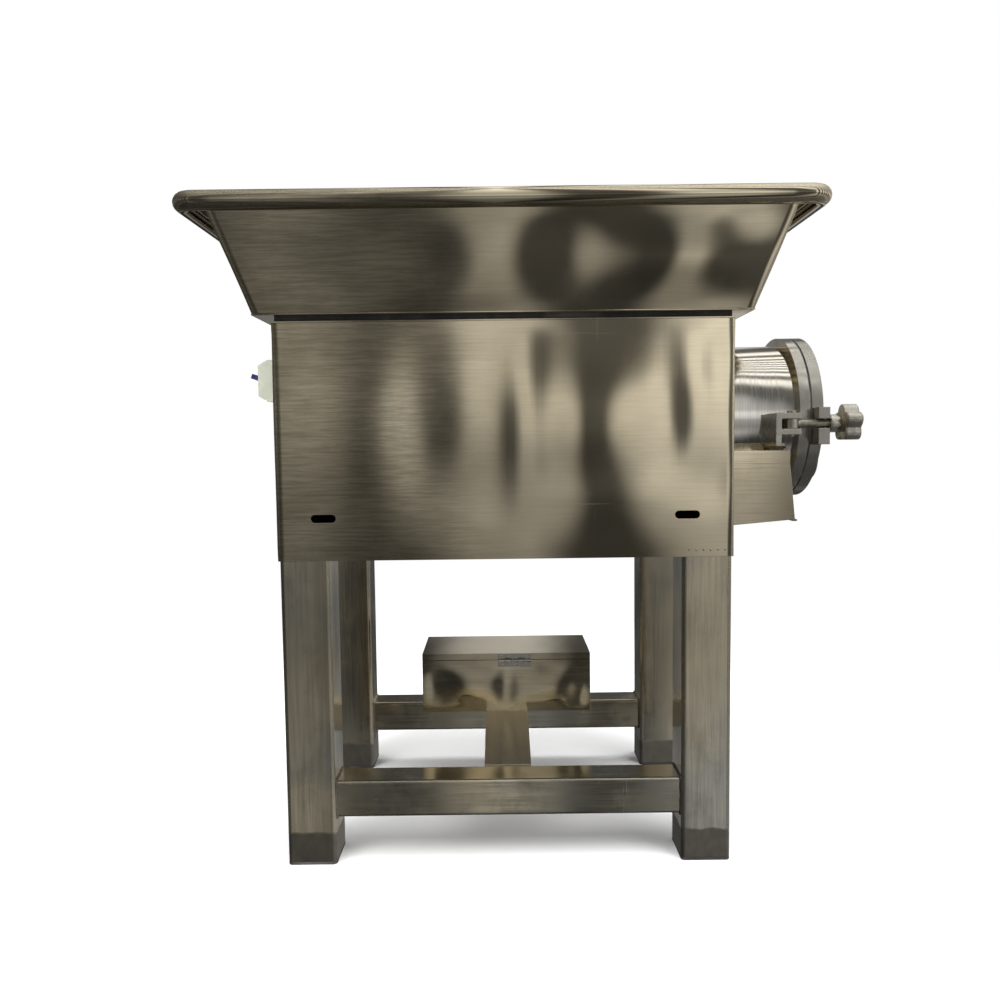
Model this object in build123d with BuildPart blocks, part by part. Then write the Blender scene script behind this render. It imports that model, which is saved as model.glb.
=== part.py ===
from build123d import *
from math import acos, atan2, cos, degrees, pi, radians, sin, sqrt, tan
import os

# A grape crusher destemmer on a square-tube stand, in millimetres.
# +Z is up, +X points to the outlet end, and -Y is the front.
# The origin is on the floor, at the centre of the four legs.

os.makedirs("parts", exist_ok=True)

# Fits and sheet
RUN = 0.05            # radial clearance of a shaft in its bearing or bush
SLIP = 0.1            # radial clearance of a fixed piece in its seat
GAP = 0.3             # least gap between pieces that move past each other
SHEET = 1.5           # casing and hopper sheet
SEAM = 0.2            # open seam between two welded sheets
PLATE = 6.0           # bulkhead and motor plate

# Stand
LEG = 50.0
LEG_WALL = 2.0
LEG_CORNER = 4.0
FRAME_WIDTH = 455.0   # over the legs, along X
FRAME_DEPTH = 306.0   # over the legs, along Y
STAND_HEIGHT = 315.5  # floor to the casing's lower edge
CAP = 3.0             # foot cap under each leg
CAP_PLUG = 20.0
RAIL_CORNER = 3.0
RAIL = 38.0
RAIL_BOTTOM = 48.0
RAIL_SETBACK = 4.0    # rail face behind the leg face
BEARER = 25.5         # tubes between the legs that carry the base plate
BASE_PLATE = 3.0

# Gear train
MODULE = 2.0
PRESSURE_ANGLE = 20.0
BACKLASH = 0.3
PINION_TEETH = 18
AUGER_TEETH = 48
ROLLER_TEETH = 24
GEAR_WIDTH = 14.0
GEAR_SIDE = 5.0       # motor plate to the drive gears
GEAR_STEP = 4.0       # drive gears to idle gears
GEAR_END = 7.0        # idle gears to the bulkhead
AUGER_PHASE = 90.0    # angle of one tooth of the auger gear

# Motor
MOTOR_R = 46.0
MOTOR_FEET = 1.0      # motor to base plate
MOTOR_LENGTH = 90.0
SHIELD = 6.0
MOTOR_SHAFT_R = 7.0
ROTOR_R = 26.0
AIR_GAP = 0.6
STATOR_R = 40.0
FAN_R = 36.0
FAN_WIDTH = 12.0
FAN_BLADES = 7
FAN_COVER = 27.0
FAN_INSET = 9.0       # fan inside its cover
GRILLE_ROWS = 7
GRILLE_PITCH = 8.0
GRILLE_LENGTH = 44.0
GRILLE_WIDTH = 4.0
STATOR_INSET = 10.0
ROTOR_INSET = 12.0
MOTOR_FINS = 24
MOTOR_FIN_DEPTH = 3.0

# Crushing rollers and auger
ROLLER_GAP = 4.0
ROLLER_FLUTES = 12
FLUTE_R = 2.6
ROLLER_SHAFT_R = 8.0
ROLLER_BUSH = 4.0     # wall of the rollers' bushes
ROLLER_SIDE = 5.0
ROLLER_END = 75.0     # outer roller bushes inside the casing
BEARING_R = 22.0      # outside of the auger shaft's bearings
PLATE_MARGIN = 44.0   # bearing plates beyond the rollers
SHAFT_R = 11.0
SLEEVE_R = 15.0
FLIGHT_PITCH = 62.0
FLIGHT_SHEET = 3.0
TROUGH_SHEET = 2.0
TROUGH_CLEARANCE = 3.0
FLIGHT_INSET = 6.0    # flight's ends inside the trough
SLEEVE_OUT = 3.0      # sleeve beyond the flight

# Barrel, screen and end cover
BARREL_R = 82.0
BARREL_WALL = 3.0
BARREL_LENGTH = 87.0
FLANGE_LAND = 9.0     # flange beyond the barrel
FLANGE = 11.0
COVER_GASKET = 2.0
COVER = 12.0
COVER_WEB = 6.0
SCREEN_INSET = 10.0   # screen inside the barrel
SCREEN_SHEET = 1.5
SCREEN_HOLE_R = 6.0
SCREEN_ROWS = 5
SCREEN_HOLES = 18
BEATER_CLEARANCE = 8.0
BEATER_ROD_R = 4.0
BEATER_BLADE = (12.0, 4.0, 20.0)  # along X, across and outward
BEATER_TURN = 72.0    # between arms that follow each other
BEATER_END = 8.0      # first and last arm from the sleeve's ends
BEATERS = 10
SPIGOT_R = 25.0       # inside radius of the stem outlet
SPIGOT_WALL = 3.0
SPIGOT_DROP = 44.0    # outlet axis below the auger axis
SPIGOT_LENGTH = 19.0
BOSS_R = 20.0
SHAFT_OUT = 7.0       # shaft's end outside the cover
BUSH_R = 14.0

# Swing-bolt clamps
BOLT_R = 4.0
BOLT_OUT = 18.0       # bolt axis outside the barrel
BOLT_DROP = 9.0       # bolt axis below the auger axis
BOLT_PIN_R = 3.0
BOLT_PIN_BACK = 12.0  # hinge pin behind the flange
EYE_R = 7.0
EYE = 10.0
EAR = 6.0
EAR_FAR = 8.0         # ears beyond the pin, outward and towards the cover
CLEVIS_IN = 22.0      # clevis block's root inside the barrel's outside
CLEVIS_WEB = 6.0
CLEVIS_BACK = 19.0    # web's back behind the pin
CLEVIS_SKIRT = 12.0   # web below the lower ear
BOLT_SHORT = 5.0      # bolt's end inside the knob
LUG_HIGH = 17.0
LUG_LOW = 22.0
LUG_SLOT = 10.0
LUG_REACH = 10.0      # lug beyond the bolt's axis
LUG_CUT = (40.0, 60.0)    # block that shapes the lug's nose
RIM_BAND = 8.0        # cover's thick rim
HUB_R = 9.5
HUB = 13.0
KNOB_R = 20.0
KNOB = 17.0
KNOB_LOBES = 5
KNOB_SCALLOP_R = 9.0

# Must chute
CHUTE_MARGIN = 3.0    # chute's sides beyond the barrel
CHUTE_LENGTH = 79.0   # along X, at the top
CHUTE_FLARE = 6.0
CHUTE_SHEET = 2.0
CHUTE_TOP_DROP = 37.0     # collar top below the auger axis
CHUTE_COLLAR = 14.0
CHUTE_DEPTH_LEFT = 68.0   # wall height at the casing
CHUTE_DEPTH_RIGHT = 61.0  # wall height at the outer end
CHUTE_LIP = 3.0
WINDOW_HALF = 55.0    # outlet window in the barrel, along Y
WINDOW_MARGIN = 6.0
WINDOW_DROP = 40.0    # window's top below the auger axis

# Hopper
HOPPER_GASKET = 4.0
GASKET_SETBACK = 3.0
GASKET_WIDTH = 12.0
HOPPER_OVERHANG = 14.5
HOPPER_FLARE = 31.0
HOPPER_HEIGHT = 91.5
SLOPE_RISE = 42.0
THROAT_MARGIN = 4.0
BEAD_R = 9.0
BEAD_WALL = 1.5
BEAD_OUT = 17.0
BEAD_RISE = 4.0
BEAD_CORNER = 12.0

# Vents at the rear, behind the motor
VENT_ROWS = 6
VENT_PITCH = 12.0
VENT_LENGTH = 70.0
VENT_WIDTH = 5.0

# Front slots
SLOT_SPACING = 364.0
SLOT_LENGTH = 25.0
SLOT_WIDTH = 8.0
SLOT_RISE = 42.5

# Breaker switch
SWITCH_Y = -75.0
SWITCH_WIDTH = 36.0
SWITCH_HEIGHT = 44.0
SWITCH_BACK = 79.2    # height of the body behind the panel
SWITCH_CHAMFER = (10.0, 6.0)
SWITCH_POCKET = (14.0, 15.0)  # depth and half height
SWITCH_OUT = 31.0
SWITCH_IN = 28.0
SWITCH_DROP = 53.5    # switch centre below the casing's top
LEVER_WIDTH = 22.0
LEVER_REACH = 17.0
LEVER_SHEET = 5.0
LEVER_TILT = 20.0
LEVER_HUB_R = 5.0
LEVER_PIN_R = 1.5
SWITCH_PIVOT = 7.0    # lever pivot behind the nose

# Box on the strap between the rails
BOX_LENGTH = 200.0
BOX_DEPTH = 90.0
BOX_HEIGHT = 70.0
BOX_SHEET = 1.5
BOX_FRONT = -5.0
BOX_RISE = 25.0       # box underside above the rails
STRAP_WIDTH = 50.0
STRAP = 3.0
STRAP_TAB = 24.0      # strap's tab down each rail
HINGE_X = 10.0
HINGE_WIDTH = 40.0
HINGE_LEAF = 8.0
HINGE_SHEET = 1.2
HINGE_DROP = 8.0      # hinge pin below the box's top
KNUCKLE_R = 2.2
HINGE_PIN_R = 1.0

# Levels and places that follow
pinion_r = MODULE * PINION_TEETH / 2
auger_gear_r = MODULE * AUGER_TEETH / 2
roller_gear_r = MODULE * ROLLER_TEETH / 2
roller_y = roller_gear_r
roller_r = roller_gear_r - ROLLER_GAP / 2
roller_rise = sqrt((auger_gear_r + roller_gear_r) ** 2 - roller_y ** 2)
axis_drop = roller_rise + roller_gear_r + MODULE + 1.1 + SHEET
motor_drop = auger_gear_r + pinion_r
casing_height = axis_drop + motor_drop + MOTOR_R + MOTOR_FEET + BASE_PLATE + BEARER
casing_top = STAND_HEIGHT + casing_height
axis_z = casing_top - axis_drop
roller_z = axis_z + roller_rise
motor_z = axis_z - motor_drop
base_top = STAND_HEIGHT + BEARER + BASE_PLATE
leg_top = STAND_HEIGHT + BEARER
deck_low = casing_top - SHEET
half_width = FRAME_WIDTH / 2
half_depth = FRAME_DEPTH / 2
casing_x = half_width + SHEET
casing_y = half_depth + SHEET
rail_span = half_width - LEG
auger_r = roller_rise - roller_r - 2

# Places along X: motor at the left, then the gears, then the wet end
fan_cover_x = -half_width + 5
motor_x = fan_cover_x + FAN_COVER
motor_plate_x = motor_x + SHIELD * 2 + MOTOR_LENGTH
drive_gear_x = motor_plate_x + PLATE + GEAR_SIDE
idle_gear_x = drive_gear_x + GEAR_WIDTH + GEAR_STEP
bulkhead_x = idle_gear_x + GEAR_WIDTH + GEAR_END
wet_x = bulkhead_x + PLATE
roller_end_x = half_width - ROLLER_END
roller_low_x = wet_x + ROLLER_SIDE
roller_high_x = roller_end_x - ROLLER_SIDE + 1
throat_low_x = roller_low_x + THROAT_MARGIN
throat_high_x = roller_high_x - THROAT_MARGIN
feed_r = auger_r + TROUGH_CLEARANCE
throat_y = feed_r - SHEET - GAP
flange_x = casing_x + BARREL_LENGTH
cover_x = flange_x + FLANGE + COVER_GASKET
cover_end_x = cover_x + COVER
shaft_end_x = cover_end_x + SHAFT_OUT
flange_r = BARREL_R + FLANGE_LAND
screen_r = BARREL_R - SCREEN_INSET
beater_r = screen_r - BEATER_CLEARANCE


def slab(low, high, mode=Mode.ADD):
    """A box between two corners, in the block that calls it."""
    size = [b - a for a, b in zip(low, high)]
    with Locations(low):
        Box(*size, align=(Align.MIN, Align.MIN, Align.MIN), mode=mode)


def across(x, y=0, z=None):
    """A plane that faces +X, with its own x along Y and its own y along Z."""
    return Plane(origin=(x, y, axis_z if z is None else z), x_dir=(0, 1, 0), z_dir=(1, 0, 0))


def ring(low_x, high_x, outer, inner, y=0, z=None):
    """A plain ring or tube along X."""
    with BuildPart() as made:
        with BuildSketch(across(low_x, y, z)):
            Circle(outer)
            Circle(inner, mode=Mode.SUBTRACT)
        extrude(amount=high_x - low_x)
    return made


def save(made, name):
    made.part.label = name
    export_step(made.part, f"parts/{name}.step")


def mesh_phase(teeth, phase, direction, other_teeth):
    """The angle of a tooth of the second gear that meshes with the first, in degrees."""
    return direction + 180 + (180 - teeth * (phase - direction)) / other_teeth


def spur_gear(teeth, low_x, high_x, bore_r, y, z, phase):
    pitch_r = MODULE * teeth / 2
    base_r = pitch_r * cos(radians(PRESSURE_ANGLE))
    tip_r = pitch_r + MODULE
    root_r = pitch_r - 1.25 * MODULE
    half_tooth = pi / (2 * teeth) - BACKLASH / (2 * pitch_r)

    def involute(r):
        angle = acos(min(1.0, base_r / r))
        return tan(angle) - angle

    steps = 4
    radii = [base_r + (tip_r - base_r) * i / steps for i in range(steps + 1)]
    radii = [max(r, root_r + 0.01) for r in radii]
    flank = [(r, half_tooth + involute(pitch_r) - involute(r)) for r in radii]
    side = [(root_r, flank[0][1])] + flank
    points = []
    for tooth in range(teeth):
        middle = radians(phase) + 2 * pi * tooth / teeth
        points += [(r * cos(middle - a), r * sin(middle - a)) for r, a in side]
        points += [(r * cos(middle + a), r * sin(middle + a)) for r, a in reversed(side)]
    with BuildPart() as gear:
        with BuildSketch(across(low_x, y, z)):
            with BuildLine():
                Polyline(*points, close=True)
            make_face()
            Circle(bore_r, mode=Mode.SUBTRACT)
        extrude(amount=high_x - low_x)
    return gear


def rolled_rim(half_x, half_y, z):
    """The hopper's rolled edge: a flat lip all round that ends in a hollow bead."""
    with BuildPart() as rim:
        with BuildSketch(Plane.XY.offset(z)):
            RectangleRounded(2 * (half_x + BEAD_OUT), 2 * (half_y + BEAD_OUT), BEAD_CORNER)
            Rectangle(2 * (half_x - SHEET), 2 * (half_y - SHEET), mode=Mode.SUBTRACT)
        extrude(amount=SHEET)
        with BuildSketch(Plane.XY.offset(z + BEAD_RISE), mode=Mode.PRIVATE) as route:
            RectangleRounded(2 * (half_x + BEAD_OUT), 2 * (half_y + BEAD_OUT), BEAD_CORNER)
        section = Plane(origin=(0, -half_y - BEAD_OUT, z + BEAD_RISE), x_dir=(0, 1, 0), z_dir=(1, 0, 0))
        for radius, mode in ((BEAD_R, Mode.ADD), (BEAD_R - BEAD_WALL, Mode.SUBTRACT)):
            with BuildSketch(section):
                Circle(radius)
            sweep(path=route.sketch.wire(), mode=mode)
    return rim


def hopper_wall(side, low_half, high_half, low_z, high_z, rim):
    """One slanted wall with its own stretch of the rolled rim, mitred at the corners."""
    turn = -1 if side in ("front", "left") else 1
    far_x, far_y = high_half[0] + 2 * BEAD_OUT + BEAD_R, high_half[1] + 2 * BEAD_OUT + BEAD_R
    tip = far_x - far_y
    with BuildPart() as wedge:
        with BuildSketch(Plane.XY.offset(high_z)):
            with BuildLine():
                if side in ("front", "rear"):
                    Polyline((-far_x, turn * far_y), (far_x, turn * far_y), (tip, 0), (-tip, 0), close=True)
                else:
                    Polyline((turn * far_x, -far_y), (turn * far_x, far_y), (turn * tip, 0), close=True)
            make_face()
        extrude(amount=3 * BEAD_R, both=True)
    edge = rim.part & wedge.part
    with BuildPart() as wall:
        for z, (half_x, half_y) in ((low_z, low_half), (high_z, high_half)):
            with BuildSketch(Plane.XY.offset(z)):
                if side in ("front", "rear"):
                    with Locations((0, turn * (half_y - SHEET / 2))):
                        Rectangle(2 * half_x, SHEET)
                else:
                    with Locations((turn * (half_x - SHEET / 2), 0)):
                        Rectangle(SHEET, 2 * (half_y - SHEET))
        loft()
        add(edge)
    return wall


# ---------------------------------------------------------------- stand
leg_x = half_width - LEG / 2
leg_y = half_depth - LEG / 2

with BuildPart() as legs:
    with BuildSketch(Plane.XY.offset(CAP)):
        with GridLocations(2 * leg_x, 2 * leg_y, 2, 2):
            RectangleRounded(LEG, LEG, LEG_CORNER)
            bore = LEG - 2 * LEG_WALL
            RectangleRounded(bore, bore, LEG_CORNER - LEG_WALL, mode=Mode.SUBTRACT)
    extrude(amount=leg_top - CAP)
save(legs, "legs")

with BuildPart() as foot_caps:
    with BuildSketch(Plane.XY):
        with GridLocations(2 * leg_x, 2 * leg_y, 2, 2):
            RectangleRounded(LEG, LEG, LEG_CORNER)
    extrude(amount=CAP)
    plug = LEG - 2 * LEG_WALL - 2 * SLIP
    with BuildSketch(Plane.XY.offset(CAP)):
        with GridLocations(2 * leg_x, 2 * leg_y, 2, 2):
            RectangleRounded(plug, plug, LEG_CORNER - LEG_WALL)
    extrude(amount=CAP_PLUG)
save(foot_caps, "foot_caps")

rail_y = half_depth - RAIL_SETBACK - RAIL / 2
rail_top = RAIL_BOTTOM + RAIL
for name, y in (("front_rail", -rail_y), ("rear_rail", rail_y)):
    with BuildPart() as rail:
        with BuildSketch(across(-rail_span, y, RAIL_BOTTOM + RAIL / 2)):
            RectangleRounded(RAIL, RAIL, RAIL_CORNER)
            bore = RAIL - 2 * LEG_WALL
            RectangleRounded(bore, bore, RAIL_CORNER / 2, mode=Mode.SUBTRACT)
        extrude(amount=2 * rail_span)
    save(rail, name)

with BuildPart() as bearers:
    with BuildSketch(Plane.XZ.offset(-(half_depth - LEG))):
        with Locations((-leg_x, STAND_HEIGHT + BEARER / 2), (leg_x, STAND_HEIGHT + BEARER / 2)):
            Rectangle(BEARER, BEARER)
            Rectangle(BEARER - 2 * LEG_WALL, BEARER - 2 * LEG_WALL, mode=Mode.SUBTRACT)
    extrude(amount=2 * (half_depth - LEG))
save(bearers, "plate_bearers")

# ---------------------------------------------------------------- casing
with BuildPart() as base_plate:
    slab((-half_width, -half_depth, leg_top), (half_width, half_depth, base_top))
save(base_plate, "base_plate")

with BuildPart() as front_panel:
    slab((-casing_x, -casing_y, STAND_HEIGHT), (casing_x, -half_depth, deck_low))
    with BuildSketch(Plane.XZ.offset(half_depth)):
        with Locations((0, STAND_HEIGHT + SLOT_RISE)):
            with GridLocations(SLOT_SPACING, 1, 2, 1):
                SlotOverall(SLOT_LENGTH, SLOT_WIDTH)
    extrude(amount=SHEET, mode=Mode.SUBTRACT)
save(front_panel, "front_panel")

with BuildPart() as rear_panel:
    slab((-casing_x, half_depth, STAND_HEIGHT), (casing_x, casing_y, deck_low))
    with BuildSketch(Plane.XZ.offset(-casing_y)):
        with Locations((motor_x + MOTOR_LENGTH / 2, motor_z)):
            with GridLocations(1, VENT_PITCH, 1, VENT_ROWS):
                SlotOverall(VENT_LENGTH, VENT_WIDTH)
    extrude(amount=SHEET, mode=Mode.SUBTRACT)
save(rear_panel, "rear_panel")

switch_z = casing_top - SWITCH_DROP
with BuildPart() as left_panel:
    slab((-casing_x, -half_depth, STAND_HEIGHT), (-half_width, half_depth, deck_low))
    half_y = SWITCH_WIDTH / 2 + GAP
    half_z = SWITCH_HEIGHT / 2 + GAP
    slab((-casing_x, SWITCH_Y - half_y, switch_z - half_z),
         (-half_width, SWITCH_Y + half_y, switch_z + half_z), Mode.SUBTRACT)
save(left_panel, "left_panel")

with BuildPart() as right_panel:
    slab((half_width, -half_depth, STAND_HEIGHT), (casing_x, half_depth, deck_low))
    with BuildSketch(across(half_width)):
        Circle(feed_r)
    extrude(amount=SHEET, mode=Mode.SUBTRACT)
save(right_panel, "right_panel")

collar_low = roller_z + roller_r + 2
with BuildPart() as deck_plate:
    slab((-casing_x, -casing_y, deck_low), (casing_x, casing_y, casing_top))
    edge = SHEET + 1
    slab((throat_low_x - edge, -throat_y - edge, deck_low),
         (throat_high_x + edge, throat_y + edge, casing_top), Mode.SUBTRACT)
save(deck_plate, "deck_plate")

# ---------------------------------------------------------------- hopper
hopper_low = casing_top + HOPPER_GASKET
hopper_top = hopper_low + HOPPER_HEIGHT
low_half = (casing_x + HOPPER_OVERHANG, casing_y + HOPPER_OVERHANG)
high_half = (low_half[0] + HOPPER_FLARE, low_half[1] + HOPPER_FLARE)

with BuildPart() as gaskets:
    with BuildSketch(Plane.XY.offset(casing_top)):
        Rectangle(2 * (casing_x - GASKET_SETBACK), 2 * (casing_y - GASKET_SETBACK))
        inset = GASKET_SETBACK + GASKET_WIDTH
        Rectangle(2 * (casing_x - inset), 2 * (casing_y - inset), mode=Mode.SUBTRACT)
    extrude(amount=HOPPER_GASKET)
    with BuildSketch(across(flange_x + FLANGE)):
        Circle(flange_r - 1)
        Circle(BARREL_R - BARREL_WALL + 2, mode=Mode.SUBTRACT)
    extrude(amount=COVER_GASKET)
save(gaskets, "gaskets")

floor_z = hopper_low + SHEET
with BuildPart() as hopper_base:
    slab((-low_half[0], -low_half[1], hopper_low), (low_half[0], low_half[1], floor_z))
    slab((throat_low_x - SHEET, -throat_y - SHEET, collar_low),
         (throat_high_x + SHEET, throat_y + SHEET, hopper_low))
    slab((throat_low_x, -throat_y, collar_low), (throat_high_x, throat_y, floor_z), Mode.SUBTRACT)
save(hopper_base, "hopper_base")

rim = rolled_rim(*high_half, hopper_top)
for side in ("front", "rear", "left", "right"):
    wall = hopper_wall(side, low_half, high_half, floor_z, hopper_top, rim)
    save(wall, f"hopper_{side}")

slope_z = floor_z + SLOPE_RISE
reach = HOPPER_FLARE * SLOPE_RISE / (hopper_top - floor_z) - SHEET
slope_x = low_half[0] + reach
slope_y = low_half[1] + reach
with BuildPart() as hopper_slopes:
    for outer_x, inner_x in ((-slope_x, throat_low_x), (slope_x, throat_high_x)):
        with BuildSketch(across(outer_x, 0, slope_z + SHEET / 2)) as wide:
            Rectangle(2 * slope_y, SHEET)
        with BuildSketch(across(inner_x, 0, floor_z + SHEET / 2)) as narrow:
            Rectangle(2 * throat_y, SHEET)
        loft([wide.sketch, narrow.sketch])
    for turn in (-1, 1):
        with BuildSketch(Plane.XZ.offset(-turn * slope_y)) as wide:
            with Locations((0, slope_z + SHEET / 2)):
                Rectangle(2 * slope_x - 2 * SEAM, SHEET)
        with BuildSketch(Plane.XZ.offset(-turn * throat_y)) as narrow:
            with Locations(((throat_low_x + throat_high_x) / 2, floor_z + SHEET / 2)):
                Rectangle(throat_high_x - throat_low_x - 2 * SEAM, SHEET)
        loft([wide.sketch, narrow.sketch])
save(hopper_slopes, "hopper_slopes")

# ---------------------------------------------------------------- barrel and end cover
barrel_in = BARREL_R - BARREL_WALL
with BuildPart() as barrel:
    with BuildSketch(across(casing_x)):
        Circle(BARREL_R)
        Circle(barrel_in, mode=Mode.SUBTRACT)
    extrude(amount=BARREL_LENGTH)
    slab((casing_x + WINDOW_MARGIN, -WINDOW_HALF, axis_z - BARREL_R),
         (casing_x + CHUTE_LENGTH - WINDOW_MARGIN, WINDOW_HALF, axis_z - WINDOW_DROP), Mode.SUBTRACT)
save(barrel, "barrel")

barrel_flange = ring(flange_x, flange_x + FLANGE, flange_r, barrel_in)
save(barrel_flange, "barrel_flange")

screen_low_x = casing_x + GAP
screen_high_x = cover_x - 2
with BuildPart() as screen:
    with BuildSketch(across(screen_low_x)):
        Circle(screen_r)
        Circle(screen_r - SCREEN_SHEET, mode=Mode.SUBTRACT)
    extrude(amount=screen_high_x - screen_low_x)
    row_pitch = (screen_high_x - screen_low_x) / SCREEN_ROWS
    for row in range(SCREEN_ROWS):
        x = screen_low_x + (row + 0.5) * row_pitch
        for hole in range(SCREEN_HOLES // 2):
            turn = (hole + (row % 2) / 2) * 360 / SCREEN_HOLES
            with Locations(Location((x, 0, axis_z), (turn, 0, 0))):
                Cylinder(SCREEN_HOLE_R, 2 * screen_r + 4, mode=Mode.SUBTRACT)
save(screen, "screen")

pin_x = flange_x - BOLT_PIN_BACK
bolt_y = BARREL_R + BOLT_OUT
bolt_z = axis_z - BOLT_DROP
nose_r = cover_end_x + 1 - pin_x
with BuildPart() as end_cover:
    with BuildSketch(across(cover_x)):
        Circle(flange_r)
    extrude(amount=COVER)
    for side in (-1, 1):
        near = side * (flange_r - RIM_BAND)
        far = side * (bolt_y + LUG_REACH)
        slab((cover_x, min(near, far), bolt_z - LUG_LOW),
             (cover_end_x + 2, max(near, far), bolt_z + LUG_HIGH))
    for side in (-1, 1):
        slot_in = side * (bolt_y - BOLT_R - 2)
        slot_out = side * (bolt_y + LUG_REACH)
        slab((cover_x, min(slot_in, slot_out), bolt_z - LUG_SLOT / 2),
             (cover_end_x + 2, max(slot_in, slot_out), bolt_z + LUG_SLOT / 2), Mode.SUBTRACT)
        # The lug's nose is round about the hinge pin, so that the knob's hub swings over it.
        with BuildSketch(Plane.XY.offset(bolt_z - LUG_LOW)):
            with Locations((cover_end_x + 10, side * bolt_y)):
                Rectangle(*LUG_CUT)
            with Locations((pin_x, side * bolt_y)):
                Circle(nose_r, mode=Mode.SUBTRACT)
            with Locations((cover_end_x + 10, side * (bolt_y - 40))):
                Rectangle(*LUG_CUT, mode=Mode.SUBTRACT)
        extrude(amount=LUG_LOW + LUG_HIGH, mode=Mode.SUBTRACT)
    with BuildSketch(across(cover_x + COVER_WEB)):
        Circle(flange_r - RIM_BAND)
    extrude(amount=COVER, mode=Mode.SUBTRACT)
    with BuildSketch(across(cover_x)):
        Circle(BOSS_R)
    extrude(amount=shaft_end_x + 4 - cover_x)
    with BuildSketch(across(cover_x)):
        with Locations((0, -SPIGOT_DROP)):
            Circle(SPIGOT_R + SPIGOT_WALL)
    extrude(amount=COVER + SPIGOT_LENGTH)
    with BuildSketch(across(cover_x)):
        with Locations((0, -SPIGOT_DROP)):
            Circle(SPIGOT_R)
    extrude(amount=COVER + SPIGOT_LENGTH, mode=Mode.SUBTRACT)
    with BuildSketch(across(cover_x)):
        Circle(BUSH_R)
    extrude(amount=shaft_end_x + 1 - cover_x, mode=Mode.SUBTRACT)
save(end_cover, "end_cover")

# ---------------------------------------------------------------- must chute
chute_y = BARREL_R + CHUTE_MARGIN
chute_x = casing_x + CHUTE_LENGTH
collar_top = axis_z - CHUTE_TOP_DROP
collar_bottom = collar_top - CHUTE_COLLAR
with BuildPart() as chute_collar:
    slab((casing_x, -chute_y, collar_bottom), (chute_x, chute_y, collar_top))
    slab((casing_x + CHUTE_SHEET, -chute_y + CHUTE_SHEET, collar_bottom),
         (chute_x - CHUTE_SHEET, chute_y - CHUTE_SHEET, collar_top - CHUTE_SHEET), Mode.SUBTRACT)
    with BuildSketch(across(casing_x)):
        Circle(BARREL_R + RUN)
    extrude(amount=CHUTE_LENGTH, mode=Mode.SUBTRACT)
save(chute_collar, "chute_collar")

left_low = collar_bottom - CHUTE_DEPTH_LEFT
right_low = collar_bottom - CHUTE_DEPTH_RIGHT
wide_x = chute_x + CHUTE_FLARE
inner_y = chute_y - CHUTE_SHEET
with BuildPart() as chute_walls:
    for y in (-chute_y, chute_y - CHUTE_SHEET):
        with BuildSketch(Plane.XZ.offset(-y)):
            with BuildLine():
                Polyline((casing_x, collar_bottom), (chute_x, collar_bottom), (wide_x, right_low),
                         (casing_x, left_low), close=True)
            make_face()
        extrude(amount=-CHUTE_SHEET)
    with BuildSketch(Plane.XZ.offset(-inner_y)):
        with BuildLine():
            Polyline((chute_x - CHUTE_SHEET, collar_bottom), (chute_x, collar_bottom),
                     (wide_x, right_low), (wide_x + CHUTE_LIP, right_low),
                     (wide_x + CHUTE_LIP, right_low - CHUTE_SHEET),
                     (wide_x - CHUTE_SHEET, right_low - CHUTE_SHEET), close=True)
        make_face()
    extrude(amount=2 * inner_y)
    slab((casing_x, -inner_y, left_low), (casing_x + CHUTE_SHEET, inner_y, collar_bottom))
    # The barrel's belly hangs into the chute, so both end walls are cut round it.
    with BuildSketch(across(casing_x)):
        Circle(BARREL_R + RUN)
    extrude(amount=BARREL_LENGTH, mode=Mode.SUBTRACT)
save(chute_walls, "chute_walls")

# ---------------------------------------------------------------- swing-bolt clamps
ear_low = bolt_z - EYE / 2 - GAP
ear_high = bolt_z + EYE / 2 + GAP
ear_far = bolt_y + EAR_FAR
web_x = pin_x - CLEVIS_BACK
skirt_low = ear_low - EAR - CLEVIS_SKIRT
with BuildPart() as clevis_brackets:
    for side in (-1, 1):
        near = side * (BARREL_R - CLEVIS_IN)
        far = side * ear_far
        y0, y1 = min(near, far), max(near, far)
        inner_x, outer_x = web_x + CLEVIS_WEB, pin_x + EAR_FAR
        slab((web_x, y0, skirt_low), (outer_x, y1, ear_high + EAR))
        slab((inner_x, y0, ear_low), (outer_x, y1, ear_high), Mode.SUBTRACT)
        slab((inner_x, y0, skirt_low), (outer_x, y1, ear_low - EAR), Mode.SUBTRACT)
        with BuildSketch(Plane.XY.offset(ear_low - EAR)):
            with Locations((pin_x, side * bolt_y)):
                Circle(BOLT_PIN_R + RUN)
        extrude(amount=2 * EAR + EYE + 2 * GAP, mode=Mode.SUBTRACT)
    with BuildSketch(across(web_x)):
        Circle(BARREL_R + RUN)
    extrude(amount=flange_x - web_x, mode=Mode.SUBTRACT)
save(clevis_brackets, "clevis_brackets")

with BuildPart() as clevis_pins:
    for side in (-1, 1):
        with BuildSketch(Plane.XY.offset(ear_low - EAR - 2)):
            with Locations((pin_x, side * bolt_y)):
                Circle(BOLT_PIN_R)
        extrude(amount=ear_high - ear_low + 2 * EAR + 3)
        with BuildSketch(Plane.XY.offset(ear_high + EAR)):
            with Locations((pin_x, side * bolt_y)):
                Circle(BOLT_PIN_R + 2)
        extrude(amount=2.5)
save(clevis_pins, "clevis_pins")

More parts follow.
